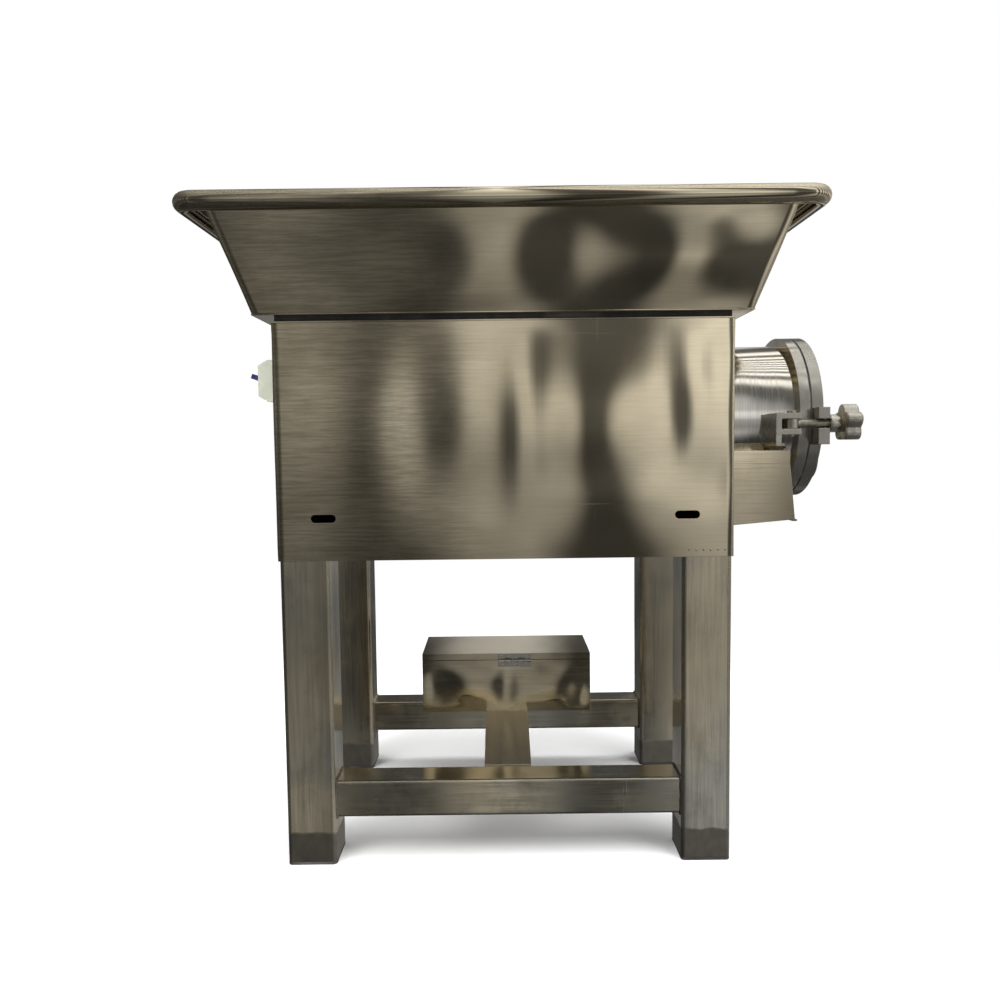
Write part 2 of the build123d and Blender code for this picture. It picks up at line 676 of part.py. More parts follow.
hub_x = pin_x + nose_r + GAP
bolt_end_x = hub_x + HUB + KNOB - BOLT_SHORT
for name, side in (("front", -1), ("rear", 1)):
    y = side * bolt_y
    with BuildPart() as swing_bolt:
        with BuildSketch(across(pin_x, y, bolt_z)):
            Circle(BOLT_R)
        extrude(amount=bolt_end_x - pin_x)
        with BuildSketch(Plane.XY.offset(bolt_z - EYE / 2)):
            with Locations((pin_x, y)):
                Circle(EYE_R)
        extrude(amount=EYE)
        with BuildSketch(Plane.XY.offset(bolt_z - EYE / 2)):
            with Locations((pin_x, y)):
                Circle(BOLT_PIN_R + RUN)
        extrude(amount=EYE, mode=Mode.SUBTRACT)
    save(swing_bolt, f"{name}_swing_bolt")

    with BuildPart() as knob:
        with BuildSketch(across(hub_x, y, bolt_z)):
            Circle(HUB_R)
        extrude(amount=HUB)
        with BuildSketch(across(hub_x + HUB, y, bolt_z)):
            Circle(KNOB_R)
            with PolarLocations(KNOB_R + 4, KNOB_LOBES, 90):
                Circle(KNOB_SCALLOP_R, mode=Mode.SUBTRACT)
        extrude(amount=KNOB)
        ends = knob.faces().filter_by(Axis.X).sort_by(Axis.X)
        chamfer(ends[-1].edges(), 2)
        with BuildSketch(across(hub_x, y, bolt_z)):
            Circle(BOLT_R + RUN)
        extrude(amount=bolt_end_x + 1 - hub_x, mode=Mode.SUBTRACT)
    save(knob, f"{name}_knob")

# ---------------------------------------------------------------- wet end
with BuildPart() as trough:
    with BuildSketch(across(wet_x)):
        for radius, mode in ((feed_r + TROUGH_SHEET, Mode.ADD), (feed_r, Mode.SUBTRACT)):
            Circle(radius, mode=mode)
            with Locations((0, (deck_low - 1 - axis_z) / 2)):
                Rectangle(2 * radius, deck_low - 1 - axis_z, mode=mode)
    extrude(amount=half_width - wet_x)
    # The plate across the trough that carries the rollers' outer bushes.
    slab((roller_end_x, -feed_r, axis_z + auger_r + 1), (roller_end_x + PLATE, feed_r, deck_low - 1))
    for side in (-1, 1):
        with BuildSketch(across(roller_end_x, side * roller_y, roller_z)):
            Circle(ROLLER_SHAFT_R + ROLLER_BUSH)
        extrude(amount=PLATE, mode=Mode.SUBTRACT)
save(trough, "trough")

plate_y = roller_y + roller_r + PLATE_MARGIN
for name, x in (("motor_plate", motor_plate_x), ("bulkhead", bulkhead_x)):
    with BuildPart() as plate:
        slab((x, -plate_y, base_top), (x + PLATE, plate_y, deck_low - 1))
        with BuildSketch(across(x)):
            Circle(BEARING_R)
        extrude(amount=PLATE, mode=Mode.SUBTRACT)
        for side in (-1, 1):
            with BuildSketch(across(x, side * roller_y, roller_z)):
                Circle(ROLLER_SHAFT_R + ROLLER_BUSH)
            extrude(amount=PLATE, mode=Mode.SUBTRACT)
        if name == "motor_plate":
            with BuildSketch(across(x, 0, motor_z)):
                Circle(pinion_r + MODULE + 1)
            extrude(amount=PLATE, mode=Mode.SUBTRACT)
    save(plate, name)

with BuildPart() as shaft_bearings:
    for x in (motor_plate_x, bulkhead_x):
        with BuildSketch(across(x)):
            Circle(BEARING_R - RUN)
            Circle(SHAFT_R + RUN, mode=Mode.SUBTRACT)
        extrude(amount=PLATE)
save(shaft_bearings, "shaft_bearings")

with BuildPart() as bushes:
    with BuildSketch(across(cover_x + 1)):
        Circle(BUSH_R - RUN)
        Circle(SHAFT_R + RUN, mode=Mode.SUBTRACT)
    extrude(amount=shaft_end_x - cover_x - 1)
    for x in (motor_plate_x, bulkhead_x, roller_end_x):
        for side in (-1, 1):
            with BuildSketch(across(x, side * roller_y, roller_z)):
                Circle(ROLLER_SHAFT_R + ROLLER_BUSH - RUN)
                Circle(ROLLER_SHAFT_R + RUN, mode=Mode.SUBTRACT)
            extrude(amount=PLATE)
save(bushes, "bushes")

with BuildPart() as auger_shaft:
    with BuildSketch(across(motor_plate_x)):
        Circle(SHAFT_R)
    extrude(amount=shaft_end_x - motor_plate_x)
save(auger_shaft, "auger_shaft")

flight_low_x = wet_x + FLIGHT_INSET
flight_high_x = half_width - FLIGHT_INSET
flight_mid_r = (SLEEVE_R - 1 + auger_r) / 2
with BuildPart() as auger_flight:
    with BuildLine() as spiral:
        Helix(FLIGHT_PITCH, flight_high_x - flight_low_x - FLIGHT_SHEET, flight_mid_r,
              center=(flight_low_x + FLIGHT_SHEET / 2, 0, axis_z), direction=(1, 0, 0))
    start = spiral.line @ 0
    outward = (start - Vector(start.X, 0, axis_z)).normalized()
    with BuildSketch(Plane(origin=start, x_dir=outward, z_dir=spiral.line % 0)):
        Rectangle(auger_r - SLEEVE_R + 1, FLIGHT_SHEET)
    sweep(path=spiral.line, is_frenet=True)
    with BuildSketch(across(flight_low_x - SLEEVE_OUT)):
        Circle(SLEEVE_R)
        Circle(SHAFT_R + RUN, mode=Mode.SUBTRACT)
    extrude(amount=flight_high_x - flight_low_x + 2 * SLEEVE_OUT)
save(auger_flight, "auger_flight")

beater_low_x = casing_x + 4
beater_high_x = cover_x - 5
with BuildPart() as beaters:
    with BuildSketch(across(beater_low_x)):
        Circle(SLEEVE_R)
        Circle(SHAFT_R + RUN, mode=Mode.SUBTRACT)
    extrude(amount=beater_high_x - beater_low_x)
    step = (beater_high_x - beater_low_x - 2 * BEATER_END) / (BEATERS - 1)
    blade_r = beater_r - BEATER_BLADE[2]
    outward = (Align.CENTER, Align.CENTER, Align.MIN)
    for arm in range(BEATERS):
        place = Location((beater_low_x + BEATER_END + arm * step, 0, axis_z), (arm * BEATER_TURN, 0, 0))
        with Locations(place * Location((0, 0, SLEEVE_R - 2))):
            Cylinder(BEATER_ROD_R, blade_r + 4 - SLEEVE_R, align=outward)
        with Locations(place * Location((0, 0, blade_r))):
            Box(*BEATER_BLADE, align=outward)
save(beaters, "beaters")

# ---------------------------------------------------------------- rollers and gears
roller_low = motor_plate_x
roller_high = roller_end_x + PLATE
for name, y in (("front_roller", -roller_y), ("rear_roller", roller_y)):
    with BuildPart() as roller:
        with BuildSketch(across(roller_low, y, roller_z)):
            Circle(ROLLER_SHAFT_R)
        extrude(amount=roller_high - roller_low)
        with BuildSketch(across(roller_low_x, y, roller_z)):
            Circle(roller_r)
            with PolarLocations(roller_r, ROLLER_FLUTES):
                Circle(FLUTE_R, mode=Mode.SUBTRACT)
        extrude(amount=roller_high_x - roller_low_x)
    save(roller, name)

front_way = degrees(atan2(roller_rise, -roller_y))
front_phase = mesh_phase(AUGER_TEETH, AUGER_PHASE, front_way, ROLLER_TEETH)
rear_phase = mesh_phase(ROLLER_TEETH, front_phase, 0, ROLLER_TEETH)
pinion_phase = mesh_phase(AUGER_TEETH, AUGER_PHASE, -90, PINION_TEETH)
idle_end_x = idle_gear_x + GEAR_WIDTH
drive_end_x = drive_gear_x + GEAR_WIDTH
roller_bore = ROLLER_SHAFT_R + RUN

auger_gear = spur_gear(AUGER_TEETH, drive_gear_x, drive_end_x, SHAFT_R + RUN, 0, axis_z, AUGER_PHASE)
save(auger_gear, "auger_gear")
pinion = spur_gear(PINION_TEETH, drive_gear_x, drive_end_x, MOTOR_SHAFT_R + RUN, 0, motor_z, pinion_phase)
save(pinion, "pinion")
front_gear = spur_gear(ROLLER_TEETH, drive_gear_x, idle_end_x, roller_bore, -roller_y, roller_z, front_phase)
save(front_gear, "front_roller_gear")
rear_gear = spur_gear(ROLLER_TEETH, idle_gear_x, idle_end_x, roller_bore, roller_y, roller_z, rear_phase)
save(rear_gear, "rear_roller_gear")

# ---------------------------------------------------------------- motor
housing_x = motor_x + SHIELD
front_shield_x = motor_plate_x - SHIELD
with BuildPart() as motor_housing:
    with BuildSketch(across(housing_x, 0, motor_z)):
        Circle(MOTOR_R - MOTOR_FIN_DEPTH)
        with PolarLocations(MOTOR_R - MOTOR_FIN_DEPTH, MOTOR_FINS):
            Rectangle(2 * MOTOR_FIN_DEPTH - 0.5, 2)
        Circle(STATOR_R + RUN, mode=Mode.SUBTRACT)
    extrude(amount=MOTOR_LENGTH)
    with BuildSketch(across(housing_x + STATOR_INSET, 0, motor_z)):
        Circle(STATOR_R)
        Circle(ROTOR_R + AIR_GAP, mode=Mode.SUBTRACT)
    extrude(amount=MOTOR_LENGTH - 2 * STATOR_INSET)
save(motor_housing, "motor_housing")

with BuildPart() as motor_shields:
    for x in (motor_x, front_shield_x):
        with BuildSketch(across(x, 0, motor_z)):
            Circle(MOTOR_R)
            Circle(MOTOR_SHAFT_R + RUN, mode=Mode.SUBTRACT)
        extrude(amount=SHIELD)
save(motor_shields, "motor_shields")

with BuildPart() as rotor:
    with BuildSketch(across(fan_cover_x + FAN_INSET - 1, 0, motor_z)):
        Circle(MOTOR_SHAFT_R)
    extrude(amount=drive_end_x - fan_cover_x - FAN_INSET + 1)
    with BuildSketch(across(housing_x + ROTOR_INSET, 0, motor_z)):
        Circle(ROTOR_R)
    extrude(amount=MOTOR_LENGTH - 2 * ROTOR_INSET)
save(rotor, "rotor")

with BuildPart() as fan:
    with BuildSketch(across(fan_cover_x + FAN_INSET, 0, motor_z)):
        Circle(MOTOR_SHAFT_R + 4)
        with PolarLocations((MOTOR_SHAFT_R + FAN_R) / 2 + 1, FAN_BLADES):
            Rectangle(FAN_R - MOTOR_SHAFT_R - 2, 2.5)
        Circle(MOTOR_SHAFT_R + RUN, mode=Mode.SUBTRACT)
    extrude(amount=FAN_WIDTH)
save(fan, "fan")

with BuildPart() as fan_cover:
    with BuildSketch(across(fan_cover_x, 0, motor_z)):
        Circle(MOTOR_R)
    extrude(amount=FAN_COVER)
    with BuildSketch(across(fan_cover_x + SHEET, 0, motor_z)):
        Circle(MOTOR_R - SHEET)
    extrude(amount=FAN_COVER, mode=Mode.SUBTRACT)
    with BuildSketch(across(fan_cover_x, 0, motor_z)):
        with GridLocations(1, GRILLE_PITCH, 1, GRILLE_ROWS):
            SlotOverall(GRILLE_LENGTH, GRILLE_WIDTH)
    extrude(amount=SHEET, mode=Mode.SUBTRACT)
save(fan_cover, "fan_cover")

# ---------------------------------------------------------------- breaker switch
switch_low_y = SWITCH_Y - SWITCH_WIDTH / 2
switch_high_y = SWITCH_Y + SWITCH_WIDTH / 2
nose_x = -casing_x - SWITCH_OUT
half_nose = SWITCH_HEIGHT / 2
pivot_x = nose_x + SWITCH_PIVOT
lever_low_y = SWITCH_Y - LEVER_WIDTH / 2
pocket = LEVER_WIDTH / 2 + GAP
slant, bevel = SWITCH_CHAMFER
pocket_deep, pocket_high = SWITCH_POCKET
with BuildPart() as breaker_body:
    with BuildSketch(Plane.XZ.offset(-switch_low_y)):
        with BuildLine():
            Polyline((-half_width + SWITCH_IN, switch_z - SWITCH_BACK / 2),
                     (-half_width + SWITCH_IN, switch_z + SWITCH_BACK / 2),
                     (-half_width + 1, switch_z + SWITCH_BACK / 2),
                     (-half_width + 1, switch_z + half_nose),
                     (nose_x + slant, switch_z + half_nose),
                     (nose_x, switch_z + half_nose - bevel),
                     (nose_x, switch_z - half_nose + bevel),
                     (nose_x + slant, switch_z - half_nose),
                     (-half_width + 1, switch_z - half_nose),
                     (-half_width + 1, switch_z - SWITCH_BACK / 2), close=True)
        make_face()
    extrude(amount=-SWITCH_WIDTH)
    slab((nose_x, SWITCH_Y - pocket, switch_z - pocket_high),
         (nose_x + pocket_deep, SWITCH_Y + pocket, switch_z + pocket_high), Mode.SUBTRACT)
    with BuildSketch(Plane.XZ.offset(-(SWITCH_Y - pocket))):
        with Locations((pivot_x, switch_z)):
            Circle(LEVER_PIN_R)
    extrude(amount=-2 * pocket)
save(breaker_body, "breaker_body")

with BuildPart() as breaker_lever:
    with BuildSketch(Plane.XZ.offset(-lever_low_y)):
        with Locations((pivot_x, switch_z)):
            Circle(LEVER_HUB_R)
        with Locations(Location((pivot_x, switch_z, 0), 180 - LEVER_TILT)):
            with Locations((LEVER_REACH / 2, 0)):
                Rectangle(LEVER_REACH, LEVER_SHEET)
        with Locations((pivot_x, switch_z)):
            Circle(LEVER_PIN_R + RUN, mode=Mode.SUBTRACT)
    extrude(amount=-LEVER_WIDTH)
save(breaker_lever, "breaker_lever")

# ---------------------------------------------------------------- box between the rails
box_low = rail_top + BOX_RISE
box_high = box_low + BOX_HEIGHT
box_back = BOX_FRONT + BOX_DEPTH
half_box = BOX_LENGTH / 2
hinge_z = box_high - HINGE_DROP
hinge_y = BOX_FRONT - KNUCKLE_R - GAP
shell_front = BOX_FRONT + BOX_SHEET + GAP
with BuildPart() as box_shell:
    slab((-half_box, shell_front, box_low), (half_box, box_back, box_high))
    slab((-half_box + BOX_SHEET, shell_front, box_low + BOX_SHEET),
         (half_box - BOX_SHEET, box_back - BOX_SHEET, box_high - BOX_SHEET), Mode.SUBTRACT)
    slab((-half_box, BOX_FRONT, box_high - BOX_SHEET), (half_box, shell_front, box_high))
    slab((-half_box, BOX_FRONT, hinge_z + GAP), (half_box, BOX_FRONT + BOX_SHEET, box_high))
save(box_shell, "box_shell")

with BuildPart() as box_flap:
    slab((-half_box, BOX_FRONT, box_low), (half_box, BOX_FRONT + BOX_SHEET, hinge_z - GAP))
save(box_flap, "box_flap")

knuckle = HINGE_WIDTH / 5
hinge_low_x = HINGE_X - HINGE_WIDTH / 2
leaf_y = BOX_FRONT - HINGE_SHEET
leaf_gap = KNUCKLE_R + GAP
for name, turn, own in (("fixed_leaf", 1, (0, 2, 4)), ("flap_leaf", -1, (1, 3))):
    with BuildPart() as leaf:
        near = hinge_z + turn * leaf_gap
        far = hinge_z + turn * HINGE_LEAF
        slab((hinge_low_x, leaf_y, min(near, far)), (hinge_low_x + HINGE_WIDTH, BOX_FRONT, max(near, far)))
        for place in own:
            x = hinge_low_x + place * knuckle + GAP / 2
            slab((x, leaf_y, min(hinge_z, near)), (x + knuckle - GAP, BOX_FRONT, max(hinge_z, near)))
            with BuildSketch(across(x, hinge_y, hinge_z)):
                Circle(KNUCKLE_R)
            extrude(amount=knuckle - GAP)
        with BuildSketch(across(hinge_low_x, hinge_y, hinge_z)):
            Circle(HINGE_PIN_R + RUN)
        extrude(amount=HINGE_WIDTH, mode=Mode.SUBTRACT)
        with BuildSketch(Plane.XZ.offset(-leaf_y)):
            with Locations((HINGE_X, hinge_z + turn * (HINGE_LEAF - 2.5))):
                with GridLocations(HINGE_WIDTH / len(own + own[:1]), 1, len(own + own[:1]), 1):
                    Circle(1.3)
        extrude(amount=-HINGE_SHEET, mode=Mode.SUBTRACT)
        if name == "fixed_leaf":
            with BuildSketch(across(hinge_low_x, hinge_y, hinge_z)):
                Circle(HINGE_PIN_R)
            extrude(amount=HINGE_WIDTH)
    save(leaf, name)

tab_y = rail_y - RAIL / 2
with BuildPart() as box_strap:
    with BuildSketch(across(-STRAP_WIDTH / 2, 0, 0)):
        with BuildLine():
            Polyline((-tab_y, rail_top - STRAP_TAB), (-tab_y, rail_top + 1), (BOX_FRONT, box_low),
                     (box_back, box_low), (tab_y, rail_top + 1), (tab_y, rail_top - STRAP_TAB),
                     (tab_y - STRAP, rail_top - STRAP_TAB), (tab_y - STRAP, rail_top - 1),
                     (box_back - 1, box_low - STRAP), (BOX_FRONT + 1, box_low - STRAP),
                     (-tab_y + STRAP, rail_top - 1.5), (-tab_y + STRAP, rail_top - STRAP_TAB), close=True)
        make_face()
    extrude(amount=STRAP_WIDTH)
save(box_strap, "box_strap")
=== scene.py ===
import math

import bmesh
import bpy
from mathutils import Matrix, Vector, noise


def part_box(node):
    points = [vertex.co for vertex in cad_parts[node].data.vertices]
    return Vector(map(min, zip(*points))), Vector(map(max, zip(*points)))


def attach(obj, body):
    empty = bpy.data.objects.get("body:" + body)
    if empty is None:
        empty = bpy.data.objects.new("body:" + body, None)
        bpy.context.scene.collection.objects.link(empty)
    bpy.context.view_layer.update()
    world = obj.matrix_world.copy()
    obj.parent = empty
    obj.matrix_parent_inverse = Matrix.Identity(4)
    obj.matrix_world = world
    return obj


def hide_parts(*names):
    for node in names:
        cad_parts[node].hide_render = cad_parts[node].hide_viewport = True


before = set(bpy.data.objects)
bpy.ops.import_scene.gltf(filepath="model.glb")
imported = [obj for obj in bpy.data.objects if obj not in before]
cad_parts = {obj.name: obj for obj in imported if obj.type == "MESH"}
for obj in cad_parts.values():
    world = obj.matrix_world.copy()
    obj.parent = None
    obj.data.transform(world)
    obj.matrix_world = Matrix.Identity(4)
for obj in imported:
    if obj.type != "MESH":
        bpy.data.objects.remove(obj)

noise.seed_set(1)  # the welds' drift is then the same in every run

# A grape crusher destemmer in polished stainless sheet on a square-tube stand.
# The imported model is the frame, in metres, and every place below is worked out from it.

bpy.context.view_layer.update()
MM = 0.001
SHEET = 1.5 * MM

# ---------------------------------------------------------------- material nodes


def node(tree, kind, sockets=None, **settings):
    """A shader node with its settings, its values and the links into it."""
    made = tree.nodes.new(kind)
    for key, value in settings.items():
        setattr(made, key, value)
    for socket, value in (sockets or {}).items():
        if isinstance(value, bpy.types.NodeSocket):
            tree.links.new(value, made.inputs[socket])
        else:
            made.inputs[socket].default_value = value
    return made


def place(tree, stretch=(1, 1, 1), turn=(0, 0, 0)):
    """Object coordinates in metres, stretched by a count per metre and turned in degrees."""
    source = node(tree, "ShaderNodeTexCoord").outputs["Object"]
    turned = [math.radians(angle) for angle in turn]
    mapped = node(tree, "ShaderNodeMapping", {"Vector": source, "Rotation": turned, "Scale": stretch})
    return mapped.outputs["Vector"]


def grain(tree, stretch, detail=3.0, turn=(0, 0, 0), rough=0.55):
    """Noise from 0 to 1 with that many ripples per metre along each axis."""
    made = node(tree, "ShaderNodeTexNoise", {
        "Vector": place(tree, stretch, turn), "Scale": 1.0, "Detail": detail, "Roughness": rough})
    return made.outputs["Fac"]


def spread(tree, value, low, high, to_low=0.0, to_high=1.0):
    """The value's stretch from low to high, eased into a new range."""
    made = node(tree, "ShaderNodeMapRange", {
        "Value": value, "From Min": low, "From Max": high, "To Min": to_low, "To Max": to_high},
        interpolation_type="SMOOTHSTEP")
    return made.outputs["Result"]


def sum_up(tree, kind, first, second):
    made = node(tree, "ShaderNodeMath", {0: first, 1: second}, operation=kind)
    return made.outputs[0]


def blend(tree, share, first, second, way="MIX"):
    """Two colours mixed by a share."""
    made = node(tree, "ShaderNodeMix", {0: share, 6: first, 7: second}, data_type="RGBA", blend_type=way)
    return made.outputs[2]


def colour(red, green, blue):
    return (red, green, blue, 1.0)


def height(tree, value, depth, normal=None):
    """A bump whose full swing is depth, in metres."""
    sockets = {"Height": value, "Distance": depth, "Strength": 1.0}
    if normal is not None:
        sockets["Normal"] = normal
    return node(tree, "ShaderNodeBump", sockets).outputs["Normal"]


def new_material(name):
    made = bpy.data.materials.new(name)
    made.use_nodes = True
    return made, made.node_tree, made.node_tree.nodes["Principled BSDF"]


def scratches(tree, stretch, turn):
    """A share of 1 on a few long thin lines."""
    line = spread(tree, grain(tree, stretch, 1.0, turn), 0.74, 0.78)
    here = spread(tree, grain(tree, (9, 9, 9), 1.0), 0.5, 0.62)
    return sum_up(tree, "MULTIPLY", line, here)


def metal(name, bright, cloud_tone, roughness, brush=(14, 700, 700), brush_depth=0.012, waves=(9, 9, 9),
          wave_depth=0.0, smudge=0.1, scratch=0.5, edge=0.7, scuffed_below=0.0, satin_and_painted_dark_to=None):
    """Bare metal: brushing along one way, a cloudy tone that is partly random and partly painted reflection
    patches, smudges, scratches and worn edges.
    Depths and the edge's radius are in millimetres. Left of the x given as the last argument the sheet is brushed
    and not buffed, and its colour there is darker in streaks: a painted dark reflection."""
    made, tree, shader = new_material(name)
    # Soft clouds of tone between the two colours: partly random tone, partly painted reflection patches.
    tone_and_reflection_cloud = spread(tree, grain(tree, (6, 6, 7), 3.0), 0.35, 0.68)
    lines = grain(tree, brush, 2.0)
    fine_lines = grain(tree, [3.1 * count for count in brush], 2.0)
    film = spread(tree, grain(tree, (22, 22, 17), 5.0, rough=0.65), 0.42, 0.75)
    marks = scratches(tree, (8, 620, 620), (0, 14, 0))
    cross_marks = scratches(tree, (560, 560, 9), (0, -24, 0))
    marked = sum_up(tree, "MAXIMUM", marks, cross_marks)
    tone = blend(tree, tone_and_reflection_cloud, colour(*bright), colour(*cloud_tone))
    tone = blend(tree, spread(tree, lines, 0.3, 0.7, 0.0, 0.12), tone, colour(0.62, 0.6, 0.55), "MULTIPLY")
    tone = blend(tree, sum_up(tree, "MULTIPLY", film, smudge * 2.2), tone, colour(0.8, 0.76, 0.66), "MULTIPLY")
    tone = blend(tree, sum_up(tree, "MULTIPLY", marked, scratch * 0.4), tone, colour(0.86, 0.84, 0.8))
    line_rough = 0.05 if satin_and_painted_dark_to is None else 0.012
    rough = sum_up(tree, "ADD", spread(tree, lines, 0.25, 0.75, -0.4 * line_rough, line_rough), roughness)
    rough = sum_up(tree, "ADD", rough, sum_up(tree, "MULTIPLY", film, smudge))
    rough = sum_up(tree, "ADD", rough, sum_up(tree, "MULTIPLY", marked, scratch * 0.2))
    # Left of the given x: a rougher brushed finish, and a colour darkened in streaks as a painted dark reflection.
    if satin_and_painted_dark_to is not None:
        along = node(tree, "ShaderNodeSeparateXYZ", {"Vector": place(tree)}).outputs["X"]
        drift = sum_up(tree, "ADD", along, spread(tree, grain(tree, (8, 8, 8)), 0.2, 0.8, -0.06, 0.06))
        satin_and_painted_dark = spread(tree, drift, satin_and_painted_dark_to + 0.08, satin_and_painted_dark_to - 0.08)
        streak = spread(tree, grain(tree, (24, 430, 430), 4.0, rough=0.7), 0.36, 0.64)
        streaked_painted_dark = blend(tree, streak, colour(0.66, 0.66, 0.64), colour(1, 1, 1))
        tone = blend(tree, sum_up(tree, "MULTIPLY", satin_and_painted_dark, 0.75), tone, streaked_painted_dark, "MULTIPLY")
        rough = sum_up(tree, "ADD", rough, sum_up(tree, "MULTIPLY", satin_and_painted_dark, 0.1))
    if scuffed_below:
        level = node(tree, "ShaderNodeSeparateXYZ", {"Vector": place(tree)}).outputs["Z"]
        ragged = sum_up(tree, "ADD", level, spread(tree, grain(tree, (60, 60, 60)), 0.2, 0.8, -0.0015, 0.0015))
        low = spread(tree, ragged, scuffed_below + 0.002, scuffed_below - 0.002)
        grime = blend(tree, grain(tree, (90, 90, 60), 5.0), colour(0.2, 0.18, 0.15), colour(0.52, 0.485, 0.42))
        tone = blend(tree, sum_up(tree, "MULTIPLY", low, 0.85), tone, grime)
        rough = sum_up(tree, "ADD", rough, sum_up(tree, "MULTIPLY", low, 0.28))
    normal = node(tree, "ShaderNodeBevel", {"Radius": edge * MM}, samples=4).outputs["Normal"]
    if wave_depth:
        normal = height(tree, grain(tree, waves, 1.5, rough=0.4), wave_depth * MM, normal)
    if brush_depth:
        normal = height(tree, lines, brush_depth * MM, normal)
        normal = height(tree, fine_lines, brush_depth * 0.35 * MM, normal)
    tree.links.new(tone, shader.inputs["Base Color"])
    tree.links.new(rough, shader.inputs["Roughness"])
    tree.links.new(normal, shader.inputs["Normal"])
    shader.inputs["Metallic"].default_value = 1.0
    return made


def moulded(name, light, dark, roughness, speckle=(500, 500, 500), depth=0.03, edge=0.6):
    """Plastic, rubber or paint: a faint mottle, dust and a fine texture."""
    made, tree, shader = new_material(name)
    mottle = grain(tree, (40, 40, 40), 4.0)
    skin = grain(tree, speckle, 3.0)
    dust = spread(tree, grain(tree, (16, 16, 16), 5.0), 0.45, 0.75)
    tone = blend(tree, spread(tree, mottle, 0.3, 0.7), colour(*light), colour(*dark))
    tone = blend(tree, sum_up(tree, "MULTIPLY", dust, 0.18), tone, colour(0.42, 0.39, 0.34))
    rough = sum_up(tree, "ADD", spread(tree, mottle, 0.25, 0.75, -0.05, 0.08), roughness)
    rough = sum_up(tree, "ADD", rough, sum_up(tree, "MULTIPLY", dust, 0.12))
    normal = node(tree, "ShaderNodeBevel", {"Radius": edge * MM}, samples=4).outputs["Normal"]
    normal = height(tree, skin, depth * MM, normal)
    tree.links.new(tone, shader.inputs["Base Color"])
    tree.links.new(rough, shader.inputs["Roughness"])
    tree.links.new(normal, shader.inputs["Normal"])
    return made


# ---------------------------------------------------------------- finishes
WARM = (0.78, 0.69, 0.505)
# The olive tone is painted reflection: it is the far end of the polished sheets' tone clouds.
OLIVE_REFLECTION_PATCH = (0.63, 0.55, 0.39)

